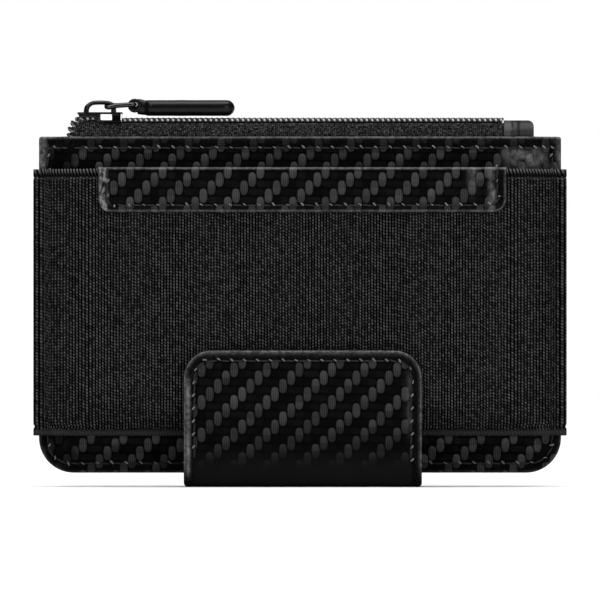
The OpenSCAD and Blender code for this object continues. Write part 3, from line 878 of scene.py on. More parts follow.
def clipWidth(s):
    w = clipHalf
    if s < clip["leafCorner"]:
        r = clip["leafCorner"]
        w -= r - math.sqrt(max(0.0, r * r - (r - s) ** 2))
    if endS - s < clip["rootCorner"]:
        r = clip["rootCorner"]
        w -= r - math.sqrt(max(0.0, r * r - (r - (endS - s)) ** 2))
    return w


def clipInset(x, s):
    return insetIn(x - clipMid, s, -clipHalf, clipHalf, 0, endS, clip["leafCorner"], clip["rootCorner"])


def clipOuter(s, t):
    x = clipMid + t / clipHalf * clipWidth(s)
    y, z, ny, nz = clipLine(s)
    d = clipInset(x, s)
    side = min(x - cx0, cx1 - x)
    onFace = ease(s, endS - rootTop + 3, endS - rootTop + 7)
    if s < splitS:
        onFace = 1.0 - ease(s, leafTop - 7.5, leafTop - 4.0)
    lift = -roundOff(d, clip["edge"]) + clip["rim"] * bead(d, clip["rimAt"], 0.6) * (0.45 + 0.55 * onFace)
    lift -= 0.26 * bead(d, clip["stitch"], 0.45) * onFace
    lift -= 0.1 * bead(side, 1.9, 0.5) * (1 - onFace)
    if s < splitS:
        lift += clip["dome"] * ease(d, 2.6, 7.0) * onFace
        lift += 0.1 * wobble(x * 1.4, z * 0.7, 8.0, 2.2) * ease(3.0 - side, 0, 2.6)
    lift += 0.04 * wobble(x, z, y, 6.0)
    lift -= 0.1  # keeps the raised rim inside the overall size
    return x, y + ny * lift, z + nz * lift


def clipInner(s, t):
    x = clipMid + t / clipHalf * clipWidth(s)
    y, z, ny, nz = clipLine(s)
    deep = clip["strap"] + (clip["leaf"] - clip["strap"]) * (1 - ease(s, leafTop - 9.5, leafTop - 5.6))
    deep -= 0.6 * roundOff(clipInset(x, s), 0.4)
    return x, y - ny * deep, z - nz * deep


def clipMap(s, t):
    return clipMid + t / clipHalf * clipWidth(s), leafTop - s


def clipRows(s0, s1):
    return [s0 + d for d in edgeSteps(s1 - s0, fineEdge, 0.55)]


# painted highlight on the clip: strengths along the rim, a soft band inside it, the top, a left strip, a
# right strip and the strap's rim, and the most it may reach
clipPaintedHighlight = {"rim": 0.7, "soft": 0.16, "top": 0.12, "leftStrip": 1.25, "rightStrip": 0.3, "strapRim": 0.4,
            "most": 1.3}


# painted highlight for each point of the clip, and how smooth it is there
def clipShine(s, t):
    x, y, z = clipOuter(s, t)
    d, left = clipInset(x, s), x - cx0
    plain = 1 - ease(d, clip["stitch"] - 0.3, clip["stitch"] + 0.25)
    if s > splitS:
        return clipPaintedHighlight["strapRim"] * bead(d, 0.5, 0.3), plain
    bright = clipPaintedHighlight["rim"] * bead(d, 0.2, 0.13) + clipPaintedHighlight["soft"] * bead(d, 0.5, 0.3)
    bright = bright * ease(z, 1.0, 6.0) + clipPaintedHighlight["top"] * bead(s, 0.6, 0.5)
    strip = bead(left, 1.0, 0.36) * ease(z, 1.0, 5.0) * ease(s, 5.0, 8.0)
    bright += clipPaintedHighlight["leftStrip"] * strip * clamp(0.6 + 0.5 * wobble(x, z, 4, 2.4))
    strip = bead(cx1 - x, 2.75, 0.5) * ease(z, 8.0, 16.0) * ease(s, 2.6, 5.0)
    bright += clipPaintedHighlight["rightStrip"] * strip * clamp(0.5 + 0.6 * wobble(x, z, 9, 2.0))
    return clamp(bright, 0, clipPaintedHighlight["most"]), plain


clipColumns = [-clipHalf + d for d in edgeSteps(2 * clipHalf, fineEdge, 0.8)]
leafPiece = skinSolid("clipLeafLeather", clipRows(0, splitS), clipColumns, clipOuter, clipInner,
                      [skins["clip"], skins["suede"], skins["edge"]], clipMap, clipShine)
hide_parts("clip_fold", "clip_leaf", "clip_leaf_lining")
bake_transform(leafPiece)
strapPiece = skinSolid("clipStrapLeather", clipRows(splitS, endS), clipColumns, clipOuter, clipInner,
                       [skins["strap"], skins["suede"], skins["edge"]], clipMap, clipShine)
settle(strapPiece, "wallet", "carbon_leather", "clip_strap")
print("clip made")


# node trees for what repeats
class Grow:  # one Geometry Nodes tree, its named inputs and its output
    def __init__(self, name, inputs):
        self.tree = bpy.data.node_groups.new(name, "GeometryNodeTree")
        face = self.tree.interface
        face.new_socket(name="Geometry", in_out="INPUT", socket_type="NodeSocketGeometry")
        self.ids = {}
        kinds = {float: "NodeSocketFloat", int: "NodeSocketInt", type(None): "NodeSocketMaterial"}
        for label, value in inputs.items():
            socket = face.new_socket(name=label, in_out="INPUT", socket_type=kinds[type(value)])
            if value is not None:
                socket.default_value = value
            self.ids[label] = socket.identifier
        face.new_socket(name="Geometry", in_out="OUTPUT", socket_type="NodeSocketGeometry")
        self.start = self.tree.nodes.new("NodeGroupInput")
        self.end = self.tree.nodes.new("NodeGroupOutput")

    def __getitem__(self, label):
        return self.start.outputs[label]

    def add(self, kind, settings=None, sockets=None, out=0):
        node = self.tree.nodes.new(kind)
        for key, value in (settings or {}).items():
            setattr(node, key, value)
        for key, value in (sockets or {}).items():
            if isinstance(value, list):
                for one in value:
                    self.tree.links.new(one, node.inputs[key])
            elif isinstance(value, bpy.types.NodeSocket):
                self.tree.links.new(value, node.inputs[key])
            else:
                node.inputs[key].default_value = value
        return node.outputs[out]

    def times(self, a, b):
        return self.add("ShaderNodeMath", {"operation": "MULTIPLY"}, {0: a, 1: b})

    def vector(self, x, y, z):
        return self.add("ShaderNodeCombineXYZ", None, {0: x, 1: y, 2: z})

    def chance(self, low, high):  # a random number for each point
        sockets = {2: low, 3: high, "Seed": self["Seed"]}
        return self.add("FunctionNodeRandomValue", {"data_type": "FLOAT"}, sockets, 1)

    def change(self, geometry, **how):  # moved, turned or scaled
        return self.add("GeometryNodeTransform", None, {"Geometry": geometry, **how})

    def spread(self, line, one, turn, **how):  # a copy on every point
        sockets = {"Points": line, "Instance": one, "Rotation": turn, **how}
        return self.add("GeometryNodeInstanceOnPoints", None, sockets)

    def rod(self, line, radius, sides):  # a round rod along a line
        ring = self.add("GeometryNodeCurvePrimitiveCircle", None, {"Resolution": sides, "Radius": radius})
        sockets = {"Curve": line, "Profile Curve": ring, "Fill Caps": True}
        return self.add("GeometryNodeCurveToMesh", None, sockets)

    def ball(self, around, rings):
        return self.add("GeometryNodeMeshUVSphere", None, {"Segments": around, "Rings": rings, "Radius": 1.0})

    def coat(self, geometry, finish):
        return self.add("GeometryNodeSetMaterial", None, {"Geometry": geometry, "Material": self[finish]})

    def pointsAlong(self):  # the given line, cut into even steps
        line = self.add("GeometryNodeMeshToCurve", None, {0: self["Geometry"]})
        sockets = {"Curve": line, "Length": self["Pitch"]}
        return self.add("GeometryNodeResampleCurve", {"mode": "LENGTH"}, sockets)

    def alongLine(self):  # a turn that points a piece's X along the line
        tangent = self.add("GeometryNodeInputTangent")
        settings = {"axis": "X", "pivot_axis": "Y"}
        return self.add("FunctionNodeAlignRotationToVector", settings, {"Vector": tangent})

    def together(self, *parts):
        return self.add("GeometryNodeJoinGeometry", None, {"Geometry": list(parts)})

    def close(self, geometry):
        whole = self.add("GeometryNodeRealizeInstances", None, {0: geometry})
        self.tree.links.new(whole, self.end.inputs[0])
        return self

    def grow(self, name, points, values):  # runs the tree on a line of points, in millimetres
        mesh = bpy.data.meshes.new(name + "Line")
        edges = [(k, k + 1) for k in range(len(points) - 1)]
        mesh.from_pydata([tuple(c * mm for c in p) for p in points], edges, [])
        carrier = bpy.data.objects.new(name + "Line", mesh)
        scene.collection.objects.link(carrier)
        modifier = carrier.modifiers.new("grow", "NODES")
        modifier.node_group = self.tree
        for label, value in values.items():
            modifier[self.ids[label]] = value
        bpy.context.view_layer.update()
        graph = bpy.context.evaluated_depsgraph_get()
        made = bpy.data.meshes.new_from_object(carrier.evaluated_get(graph), depsgraph=graph)
        bpy.data.objects.remove(carrier)
        made.name = name
        made.polygons.foreach_set("use_smooth", [True] * len(made.polygons))
        piece = bpy.data.objects.new(name, made)
        scene.collection.objects.link(piece)
        return piece


def stitchTree():  # a leaning thread and a pucker beside it for every stitch
    g = Grow("stitchRow", {"Pitch": 0.003, "Length": 0.0024, "Thread": 0.0002, "Slant": 0.1, "Seed": 3,
                           "Thread finish": None, "Pucker finish": None})
    line, turn = g.pointsAlong(), g.alongLine()
    size = g.vector(g.times(g["Length"], 0.5), g["Thread"], g["Thread"])
    stitch = g.change(g.ball(12, 7), Scale=size)
    lean = g.add("ShaderNodeMath", {"operation": "ADD"}, {0: g["Slant"], 1: g.chance(-0.05, 0.05)})
    lean = g.add("FunctionNodeEulerToRotation", None, {0: g.vector(0.0, lean, 0.0)})
    sockets = {"Rotation": turn, "Rotate By": lean}
    spin = g.add("FunctionNodeRotateRotation", {"rotation_space": "LOCAL"}, sockets)
    threads = g.coat(g.spread(line, stitch, spin), "Thread finish")
    long, thin = g.times(g["Thread"], 2.7), g.times(g["Thread"], 1.15)
    lump = g.change(g.ball(10, 6), Rotation=(0.0, 0.75, 0.0), Scale=g.vector(long, thin, thin))
    lump = g.change(lump, Translation=g.vector(g.times(g["Pitch"], 0.5), 0.0, thin))
    uneven = g.chance(0.45, 1.15)
    lumps = g.coat(g.spread(line, lump, turn, Scale=g.vector(1.0, uneven, uneven)), "Pucker finish")
    return g.close(g.together(threads, lumps))


stitchRows = stitchTree()
sewing = {"pitch": 3.07, "length": 2.3, "thread": 0.21, "slant": 0.06, "sunk": 0.02, "start": 3,
          "corner": 5.6}


def roundedPath(corners, radius, steps=6):  # a line through corners in X and Z, with rounded turns
    made = [corners[0]]
    for before, corner, after in zip(corners, corners[1:], corners[2:]):
        a = (Vector(before) - Vector(corner)).normalized() * radius
        b = (Vector(after) - Vector(corner)).normalized() * radius
        for k in range(steps + 1):
            f = k / steps
            made.append(tuple(Vector(corner) + a * (1 - f) ** 2 + b * f ** 2))
    return made + [corners[-1]]


def densely(points, step=0.4):
    made = [points[0]]
    for p, q in zip(points, points[1:]):
        count = max(1, math.ceil(math.dist(p, q) / step))
        made += [tuple(a + (b - a) * k / count for a, b in zip(p, q)) for k in range(1, count + 1)]
    return made


def sewOn(name, body, path, surface, nodes=(), own=sewing, seed=3, finish="pucker"):
    # path is in X and Z, surface gives the Y of the leather there, and own has this seam's sizes
    points = [(x, surface(x, z), z) for x, z in densely(path)]
    sizes = {**sewing, **own}
    values = {"Pitch": sizes["pitch"] * mm, "Length": sizes["length"] * mm, "Thread": sizes["thread"] * mm,
              "Slant": sizes["slant"], "Seed": seed, "Thread finish": skins["thread"],
              "Pucker finish": skins[finish]}
    return settle(stitchRows.grow(name, points, values), body, "thread", *nodes)


panelTop = pz1 - pouch["stitchTop"]
panelSide = half - pouch["stitchSide"]
panelFoot = pz0 + pouch["stitchFoot"]


def faceOfFront(x, z):
    return seamY - pouchRise(x, z) - sewing["sunk"]


topPath = [(-panelSide, panelTop), (panelSide - sewing["pitch"] / 2, panelTop)]
sewOn("panelStitchesTop", "wallet", topPath, faceOfFront, ["panel_stitching"], seed=4)
panelHigh = panelTop - sewing["start"]
panelCorners = [(-panelSide, panelHigh), (-panelSide, panelFoot),
                (panelSide, panelFoot), (panelSide, panelHigh)]
lowPath = [(-panelSide, panelTop), *roundedPath(panelCorners, sewing["corner"])]
sewOn("panelStitchesRound", "wallet", lowPath, faceOfFront, seed=5)
sewOn("backStitches", "wallet", [*lowPath, (panelSide, panelTop)], lambda x, z: backY, seed=6)


def faceOfBand(x, z):  # the elastic's outer face, in front
    inFront = [k for k in range(len(bandLine)) if bandLine[k][1] < seamY + 0.2]
    nearest = min(inFront, key=lambda k: abs(bandLine[k][0] - x))
    return bandOuter(z, nearest)[1] - sewing["sunk"]


bandSewing = {"foot": 2.4, "top": 2.2, "pitch": 2.3, "length": 1.75, "thread": 0.17}
for name, x, nodes, seed in (("bandStitchesLeft", -band["seam"], ["band_stitching"], 7),
                             ("bandStitchesRight", band["seam"], (), 8)):
    seam = [(x, ez0 + bandSewing["foot"]), (x, ez1 - bandSewing["top"])]
    sewOn(name, "wallet", seam, faceOfBand, nodes, bandSewing, seed, "thread")

tIn, tFoot = trim["stitchSide"], trim["stitchFoot"]
trimSewing = {"start": 1.4, "straight": 2.4, "corner": 1.8, "sunk": 0.12, "thread": 0.19}
trimHigh = tz1 - trimSewing["straight"]
trimSides = [(tx0 + tIn, trimHigh), (tx0 + tIn, tz0 + tFoot), (tx1 - tIn, tz0 + tFoot), (tx1 - tIn, trimHigh)]
trimPath = [(tx0 + tIn, tz1 - trimSewing["start"]), *roundedPath(trimSides, trimSewing["corner"]),
            (tx1 - tIn, tz1 - trimSewing["start"])]
sewOn("trimStitches", "wallet", trimPath, lambda x, z: trimFrontY + trimSewing["sunk"], ["trim_stitching"],
      trimSewing, 9)

cIn = clip["stitch"]
leafSewing = {"foot": 7.2, "straight": 9.0, "corner": 4.0, "sunk": 0.2, "pitch": 2.75, "length": 2.1,
              "thread": 0.2}
leafSides = [(cx0 + cIn, leafSewing["straight"]), (cx0 + cIn, leafTop - cIn),
             (cx1 - cIn, leafTop - cIn), (cx1 - cIn, leafSewing["straight"])]
leafPath = [(cx0 + cIn, leafSewing["foot"]), *roundedPath(leafSides, leafSewing["corner"]),
            (cx1 - cIn, leafSewing["foot"])]
sewOn("clipStitches", "clip", leafPath, lambda x, z: clipFrontY + leafSewing["sunk"], ["clip_stitching"],
      leafSewing, 10)
rootSewing = {"start": 0.6, "end": 0.7, "foot": 6.0, "side": 2.3, "top": 2.2, "corner": 1.6, "sunk": 0.22,
              "thread": 0.2}
rootLeft, rootRight = cx0 + rootSewing["side"], cx1 - rootSewing["side"]
rootLow, rootHigh = rootSewing["foot"], rootTop - rootSewing["top"]
rootCorners = [(rootSewing["start"], rootLow), (rootLeft, rootLow), (rootLeft, rootHigh),
               (rootRight, rootHigh), (rootRight, rootLow), (rootSewing["end"], rootLow)]
rootPath = roundedPath(rootCorners, rootSewing["corner"])
sewOn("strapStitches", "wallet", rootPath, lambda x, z: clipBackY - rootSewing["sunk"], ["strap_stitching"],
      rootSewing, 11)
print("stitches sewn")

# zip
coil = {"Pitch": 1.14, "Wire": 0.32, "Half width": 0.74, "Half height": 0.3, "Cord": 0.54,
        "Flare from": -44.8, "Flare to": -47.2}
zipper = {"tape": 0.5, "flare": 1.9, "coilUp": 1.345, "coilOut": 1.1, "raise": 0.8, "radius": 0.7, "arc": 1.1,
          "slot": 0.45, "endSlot": 0.8, "endTop": -46.0, "endCurve": 3.4, "endReach": 3.5, "endLift": 0.45,
          "liftFrom": -40.8}
ax0, ay0, az0, ax1, _, az1 = boxMm("zip_tape_front")
by1 = boxMm("zip_tape_rear")[4]
mouthY = (ay0 + by1) / 2
mouthHalf = (by1 - ay0) / 2
tapeTop = az1 + zipper["raise"]


def tapeSpot(side, s, out):  # section of a tape: up inside the panel, then over to the teeth
    radius, arc = zipper["radius"], zipper["arc"]
    reach = mouthHalf - (0 if out else zipper["tape"])
    high = tapeTop - (0 if out else zipper["tape"])
    turn = radius if out else radius - zipper["tape"]
    climb = tapeTop - radius - az0
    if s < climb:
        return mouthY + side * reach, az0 + s
    s -= climb
    if s < arc:
        a = math.pi / 2 * s / arc
        return mouthY + side * (reach - turn + turn * math.cos(a)), high - turn + turn * math.sin(a)
    return mouthY + side * max(zipper["slot"], mouthHalf - radius - (s - arc)), high


tapeTurn = tapeTop - zipper["radius"] - az0
tapeRows = [tapeTurn * k / 12 for k in range(12)] + [tapeTurn + zipper["arc"] * k / 6 for k in range(7)]
tapeRows += [tapeTurn + zipper["arc"] + k * 0.4 for k in range(1, 5)]


def tapeLeft(z):  # the tape's left end curves down into the pouch beside the teeth
    drop = clamp((tapeTop + 0.3 - z) / zipper["endCurve"])
    return zipper["endTop"] - zipper["endCurve"] * math.sqrt(drop)


def makeTape(side, name, node):
    def skin(out):
        def at(s, x):
            y, z = tapeSpot(side, s, out)
            if s > tapeTurn + 1.0 and x < ax0 + 3.2:
                y = mouthY + side * max(zipper["endSlot"], abs(y - mouthY))
            z += zipper["endLift"] * ease(zipper["liftFrom"] - x, 0, 2.6) * ease(s, tapeTurn - 3, tapeTurn)
            near = (x - ax0) / zipper["endReach"]
            if near < 1:
                x = tapeLeft(z) + (ax0 + zipper["endReach"] - tapeLeft(z)) * near
            return x, y, z
        return at
    columns = [ax0 + d for d in edgeSteps(ax1 + 0.3 - ax0, [0, 0.5, 1, 1.5, 2, 2.5, 3, 3.5], 1.2)]
    piece = skinSolid(name, tapeRows, columns, skin(True), skin(False), [skins["tape"]],
                      lambda s, x: (x, s))
    return settle(piece, "wallet", "zip_tape", node)


makeTape(-1, "zipTapeFrontCloth", "zip_tape_front")
makeTape(1, "zipTapeRearCloth", "zip_tape_rear")


def teethTree():  # one turn of wire after another round a cord, taller where the coil ends
    g = Grow("zipTeeth", {"Pitch": 0.00114, "Wire": 0.00025, "Half width": 0.0008, "Half height": 0.00042,
                          "Cord": 0.0004, "Flare": 1.0, "Flare from": -0.0448, "Flare to": -0.0472,
                          "Finish": None})
    line = g.pointsAlong()
    turn = g.add("GeometryNodeCurveSpiral", None, {"Resolution": 16, "Rotations": 1.0, "Start Radius": 1.0,
                                                   "End Radius": 1.0, "Height": g["Pitch"]})
    turn = g.change(turn, Scale=g.vector(g["Half height"], g["Half width"], 1.0))
    turn = g.change(turn, Rotation=(0.0, math.pi / 2, 0.0))
    sockets = {"Geometry": turn, "Name": "turn", "Value": g.add("GeometryNodeSplineParameter")}
    turn = g.add("GeometryNodeStoreNamedAttribute", {"data_type": "FLOAT", "domain": "POINT"}, sockets)
    across = g.add("ShaderNodeSeparateXYZ", None, {0: g.add("GeometryNodeInputPosition")})
    sockets = {0: across, 1: g["Flare from"], 2: g["Flare to"], 3: 1.0, 4: g["Flare"]}
    taller = g.vector(1.0, 1.0, g.add("ShaderNodeMapRange", None, sockets))
    copies = g.spread(line, g.rod(turn, g["Wire"], 7), g.alongLine(), Scale=taller)
    return g.close(g.coat(g.together(copies, g.rod(line, g["Cord"], 10)), "Finish"))


teethRows = teethTree()
teethZ = az1 + zipper["coilUp"]
for side, name, node in ((-1, "zipTeethFrontCoil", "zip_teeth_front"),
                         (1, "zipTeethRearCoil", "zip_teeth_rear")):
    y0 = mouthY + side * zipper["coilOut"]
    bends = [(43.4 if side < 0 else 42.83, 0, 0), (-41.4, 0, 0), (-42.6, 0.1, 0.12), (-44.4, 0.55, 0.38),
             (-45.8, 0.7, 0.34), (-46.9, 0.75, 0.05), (-47.8, 0.72, -0.5), (-48.35, 0.65, -1.3),
             (-48.65, 0.6, -2.3), (-48.9, 0.55, -3.3)]
    path = densely([(x, y0 + side * dy, teethZ + dz) for x, dy, dz in bends], 0.3)
    values = {label: value * mm for label, value in coil.items()}
    values.update({"Flare": zipper["flare"], "Finish": skins["teeth"]})
    settle(teethRows.grow(name, path, values), "wallet", "zip_teeth", node)


def softened(node, name, width, material, steps):  # a copy of a frame solid with rounded edges
    mesh = frame["nodes"][node].data.copy()
    mesh.name = name
    mesh.materials.clear()
    mesh.materials.append(material)
    work = bmesh.new()
    work.from_mesh(mesh)
    bmesh.ops.remove_doubles(work, verts=work.verts, dist=1e-6)
    bmesh.ops.dissolve_limit(work, angle_limit=math.radians(3), verts=work.verts, edges=work.edges)
    sharp = [e for e in work.edges if len(e.link_faces) == 2 and e.calc_face_angle() > math.radians(28)]
    bmesh.ops.bevel(work, geom=sharp, offset=width * mm, segments=steps, affect="EDGES", profile=0.6,
                    clamp_overlap=True)
    bmesh.ops.triangulate(work, faces=work.faces)
    bmesh.ops.recalc_face_normals(work, faces=work.faces)
    for f in work.faces:
        f.smooth = True
        f.material_index = 0
    work.to_mesh(mesh)
    work.free()
    piece = bpy.data.objects.new(name, mesh)
    scene.collection.objects.link(piece)
    piece.modifiers.new("keepFlats", "WEIGHTED_NORMAL").keep_sharp = True
    return piece


tab = {"wide": 6.4, "sunk": 0.3, "corner": 1.3, "rounding": 0.55, "crease": 3.1, "wrap": 0.45, "stitch": 1.75}
tabX0, _, _, _, _, tabTop = boxMm("zip_end_tab")
tabX1, tabLow = tabX0 + tab["wide"], pz1 - tab["sunk"]


def tabSkin(face, inward):
    def at(z, f):
        corner = tab["corner"]
        cut = corner - math.sqrt(max(0.0, corner ** 2 - max(0.0, z - tabTop + corner) ** 2))
        x = tabX0 + (tabX1 - cut - tabX0) * f
        edge = min(x - tabX0 + 0.25, tabX1 - cut - x, tabTop - z + 0.1)
        dent = 0.14 * bead(x, tabX0 + tab["crease"], 0.3) + 0.05 * wobble(x, z, face, 1.5)
        return x, face + inward * (roundOff(edge, tab["rounding"]) + dent + 0.05), z
    return at


tabSteps = (0, 0.2, 0.4, 0.55, 0.65, 0.74, 0.82, 0.88, 0.93, 0.97, 0.99, 1)
tabRows = [tabLow + (tabTop - tabLow) * f for f in tabSteps]
tabFront, tabRear = mouthY - mouthHalf - tab["wrap"], mouthY + mouthHalf + tab["wrap"]
tabPiece = skinSolid("zipEndTabLeather", tabRows, [k / 26 for k in range(27)], tabSkin(tabFront, 1),
                     tabSkin(tabRear, -1), [skins["tab"]], lambda z, f: (f * 6, z))
settle(tabPiece, "wallet", "smooth_leather", "zip_end_tab", "tab_stitching")
tabSewing = {"pitch": 1.5, "length": 1.1, "thread": 0.14}
tabPath = [(tabX0 + tab["stitch"], tabLow + 0.5), (tabX0 + tab["stitch"], tabTop - 1.1)]
for name, y in (("tabStitchesFront", tabFront), ("tabStitchesRear", tabRear)):
    sewOn(name, "wallet", tabPath, lambda x, z: y, (), tabSewing, 12, "thread")

# slider
sliderPiece = softened("slider_body", "sliderBodyMetal", 0.09, skins["metal"], 2)
settle(sliderPiece, "zip_slider", "gunmetal", "slider_body")

cheek = {"thick": 0.62, "tilt": 0.22, "split": 0.54, "out": 2.7, "left": 4.65, "right": 0.15, "low": 2.1,
         "high": 0.35}
jx0, _, _, jx1, _, jz1 = boxMm("slider_body")
cheekLeft, cheekRight = jx1 - cheek["left"], jx1 - cheek["right"]
cheekLow, cheekHigh = jz1 - cheek["low"], jz1 - cheek["high"]


def makeCheek(side, name):  # the slider's side plate, faceted where the light catches it; its bright faces carry a painted reflection, a light copy of the gunmetal
    middle = mouthY + side * cheek["out"]

    def outer(z, x):
        f = (x - cheekLeft) / (cheekRight - cheekLeft)
        up = (z - cheekLow) / (cheekHigh - cheekLow) - 0.5
        lean = cheek["tilt"] * up * (-1 if f < cheek["split"] or f > 0.95 else 1.2)
        edge = roundOff(min(x - cheekLeft, cheekRight - x), 0.2)
        edge += roundOff(min(z - cheekLow, cheekHigh - z), 0.16)
        return x, middle + side * (cheek["thick"] / 2 - lean - 0.12 * edge), z

    def inner(z, x):
        return x, middle - side * cheek["thick"] / 2, z

    wide = cheekRight - cheekLeft
    fold = wide * cheek["split"]
    xs = [cheekLeft + d for d in (0, 0.08, 0.2, 0.6, 1.2, 1.8, fold - 0.05, fold + 0.05, 3.0, 3.6,
                                  wide * 0.945, wide * 0.955, wide - 0.08, wide)]
    zs = [cheekLow + (cheekHigh - cheekLow) * f for f in (0, 0.06, 0.15, 0.4, 0.6, 0.85, 0.94, 1)]
    piece = skinSolid(name, zs, xs, outer, inner, [skins["polished"]], lambda z, x: (x, z))
    piece.data.materials.append(skins["metal"])
    # the painted reflection stays on the front faces left of the split and at the right end; the middle and
    # the side faces get the dark gunmetal
    for f in piece.data.polygons:
        f.use_smooth = False
        place = (f.center.x / mm - cheekLeft) / wide
        if cheek["split"] < place < 0.94 or abs(f.normal.y) < 0.7:
            f.material_index = 1
    settle(piece, "zip_slider", "gunmetal")


makeCheek(-1, "sliderCheekFront")
makeCheek(1, "sliderCheekRear")
flange = {"left": 0.3, "drop": 1.15, "out": 2.95, "in": 2.35, "top": 0.3, "slope": 1.2}


def makeFlange(side, name):  # the dark rim under the slider's top plate, left of the bright cheek
    left, right, high = jx0 + flange["left"], cheekLeft + 0.05, jz1 - flange["top"]

    def height(f, x):
        low = jz1 - flange["drop"]
        low -= (low - cheekLow) * ease(x, cheekLeft - flange["slope"], cheekLeft - 0.5)
        return low + (high - low) * f

    def outer(f, x):
        z = height(f, x)
        edge = roundOff(min(x - left + 0.03, z - height(0, x) + 0.03), 0.2)
        return x, mouthY + side * (flange["out"] - edge), z

    def inner(f, x):
        return x, mouthY + side * flange["in"], height(f, x)

    xs = [left + d for d in (0, 0.05, 0.12, 0.25, 0.8, 1.6, 2.4, 3.0)]
    xs += [cheekLeft - flange["slope"] + k * 0.12 for k in range(7)] + [right]
    piece = skinSolid(name, [0, 0.05, 0.12, 0.25, 0.5, 0.8, 1], sorted(x for x in xs if x <= right),
                      outer, inner, [skins["metal"]], lambda f, x: (x, f))
    settle(piece, "zip_slider", "gunmetal")


makeFlange(-1, "sliderFlangeFront")
makeFlange(1, "sliderFlangeRear")

crown = {"top": 0.46, "leg": 0.56, "wide": 1.8, "low": 0.42}
kx0, _, kz0, kx1, _, kz1 = boxMm("slider_crown")
tall = kz1 - kz0
arch = [(kx0 + 0.55, kz0 - 0.3), (kx0 + 0.65, kz0 + tall * 0.42), (kx0 + 1.35, kz1 - 0.8),
        (kx0 + 2.1, kz1 - crown["low"]), (kx1 - 1.9, kz1 - crown["low"]),
        (kx1 - 0.85, kz1 - 0.8), (kx1 - 0.6, kz0 + tall * 0.4), (kx1 - 0.55, kz0 - 0.3)]
archLine, _ = evenly(cutCorners(arch, 2), 0.22)


def crownRadius(k):  # thinner along the top, where the link hangs
    return crown["leg"] + (crown["top"] - crown["leg"]) * ease(archLine[k][1], kz0 + tall * 0.4, kz1 - 0.75)


crownPiece = tube("sliderCrownMetal", [(x, mouthY, z) for x, z in archLine], crownRadius, skins["metal"], 20,
                  flatten=crown["wide"] / 2 / crown["leg"])
settle(crownPiece, "zip_slider", "gunmetal", "slider_crown")

joints = {j["name"]: j for j in frame["joints"]}
barX, _, barZ = (c / mm for c in joints["link_swing"]["pos_m"])
eyeX, _, eyeZ = (c / mm for c in joints["puller_swing"]["pos_m"])
link = {"wire": 0.37, "corner": 0.9, "side": 1.7, "twistStart": 9.0, "twistEnd": 2.0, "drop": 0.05}
reach = math.hypot(eyeX - barX, eyeZ - barZ)
tilt = math.atan2(eyeZ - barZ, eyeX - barX)
flatRing = []
near, far, up = link["corner"], reach - link["corner"], link["side"] - link["corner"]
for cx, cy, start in ((far, up, 0), (near, up, 90), (near, -up, 180), (far, -up, 270)):
    for k in range(9):
        a = math.radians(start + 90 * k / 8)
        flatRing.append((cx + link["corner"] * math.cos(a), cy + link["corner"] * math.sin(a)))
ring = []
for x, y in densely(flatRing + flatRing[:1])[:-1]:  # a little twisted, lower where it hangs in the crown
    roll = math.radians(link["twistStart"] + (link["twistEnd"] - link["twistStart"]) * ease(x, 0.5, 2.6))
    up = y * math.sin(roll) - link["drop"] * (1 - ease(x, 0.2, 2.2))
    ring.append((barX + x * math.cos(tilt) - up * math.sin(tilt), mouthY + y * math.cos(roll),
                 barZ + x * math.sin(tilt) + up * math.cos(tilt)))


def linkRadius(k):  # a little thicker at its sides
    return link["wire"] + 0.13 * bead(abs(ring[k][1] - mouthY), link["side"], 0.4)


linkPiece = tube("pullLinkWire", ring, linkRadius, skins["wire"], 16, closed=True)
settle(linkPiece, "link", "gunmetal", "pull_link")

# leather puller
puller = {"halfThick": 1.7, "halfWide": 2.55, "neck": 1.08, "throat": 1.62, "start": 0.45, "full": 2.9,
          "loopOut": 1.5, "loopIn": 0.44, "low": 0.12, "hang": 0.9}
qx1 = boxMm("leather_puller")[3]
pullZ = eyeZ - puller["hang"]


def pullSection(x):  # half height, half width and middle height of the puller at x
    f = ease(x, eyeX + puller["start"], eyeX + puller["full"])
    tall = puller["throat"] + (puller["halfThick"] - puller["throat"]) * f - 0.1 * bead(x, eyeX + 2.1, 0.4)
    wide = puller["neck"] + (puller["halfWide"] - puller["neck"]) * ease(x, eyeX + 1.7, eyeX + 3.4)
    z = pullZ + puller["low"] + 0.3 * (1 - f)
    left = qx1 - x
    if left < puller["halfThick"]:
        tall *= math.sqrt(max(0.0, 1 - (1 - left / puller["halfThick"]) ** 2))
    if left < puller["halfWide"]:
        wide *= math.sqrt(max(0.0, 1 - (1 - left / puller["halfWide"]) ** 2)) ** 0.8
    tall += 0.04 * wobble(x, 0, 0, 3.0)
    return max(tall, 0.02), max(wide, 0.02), z


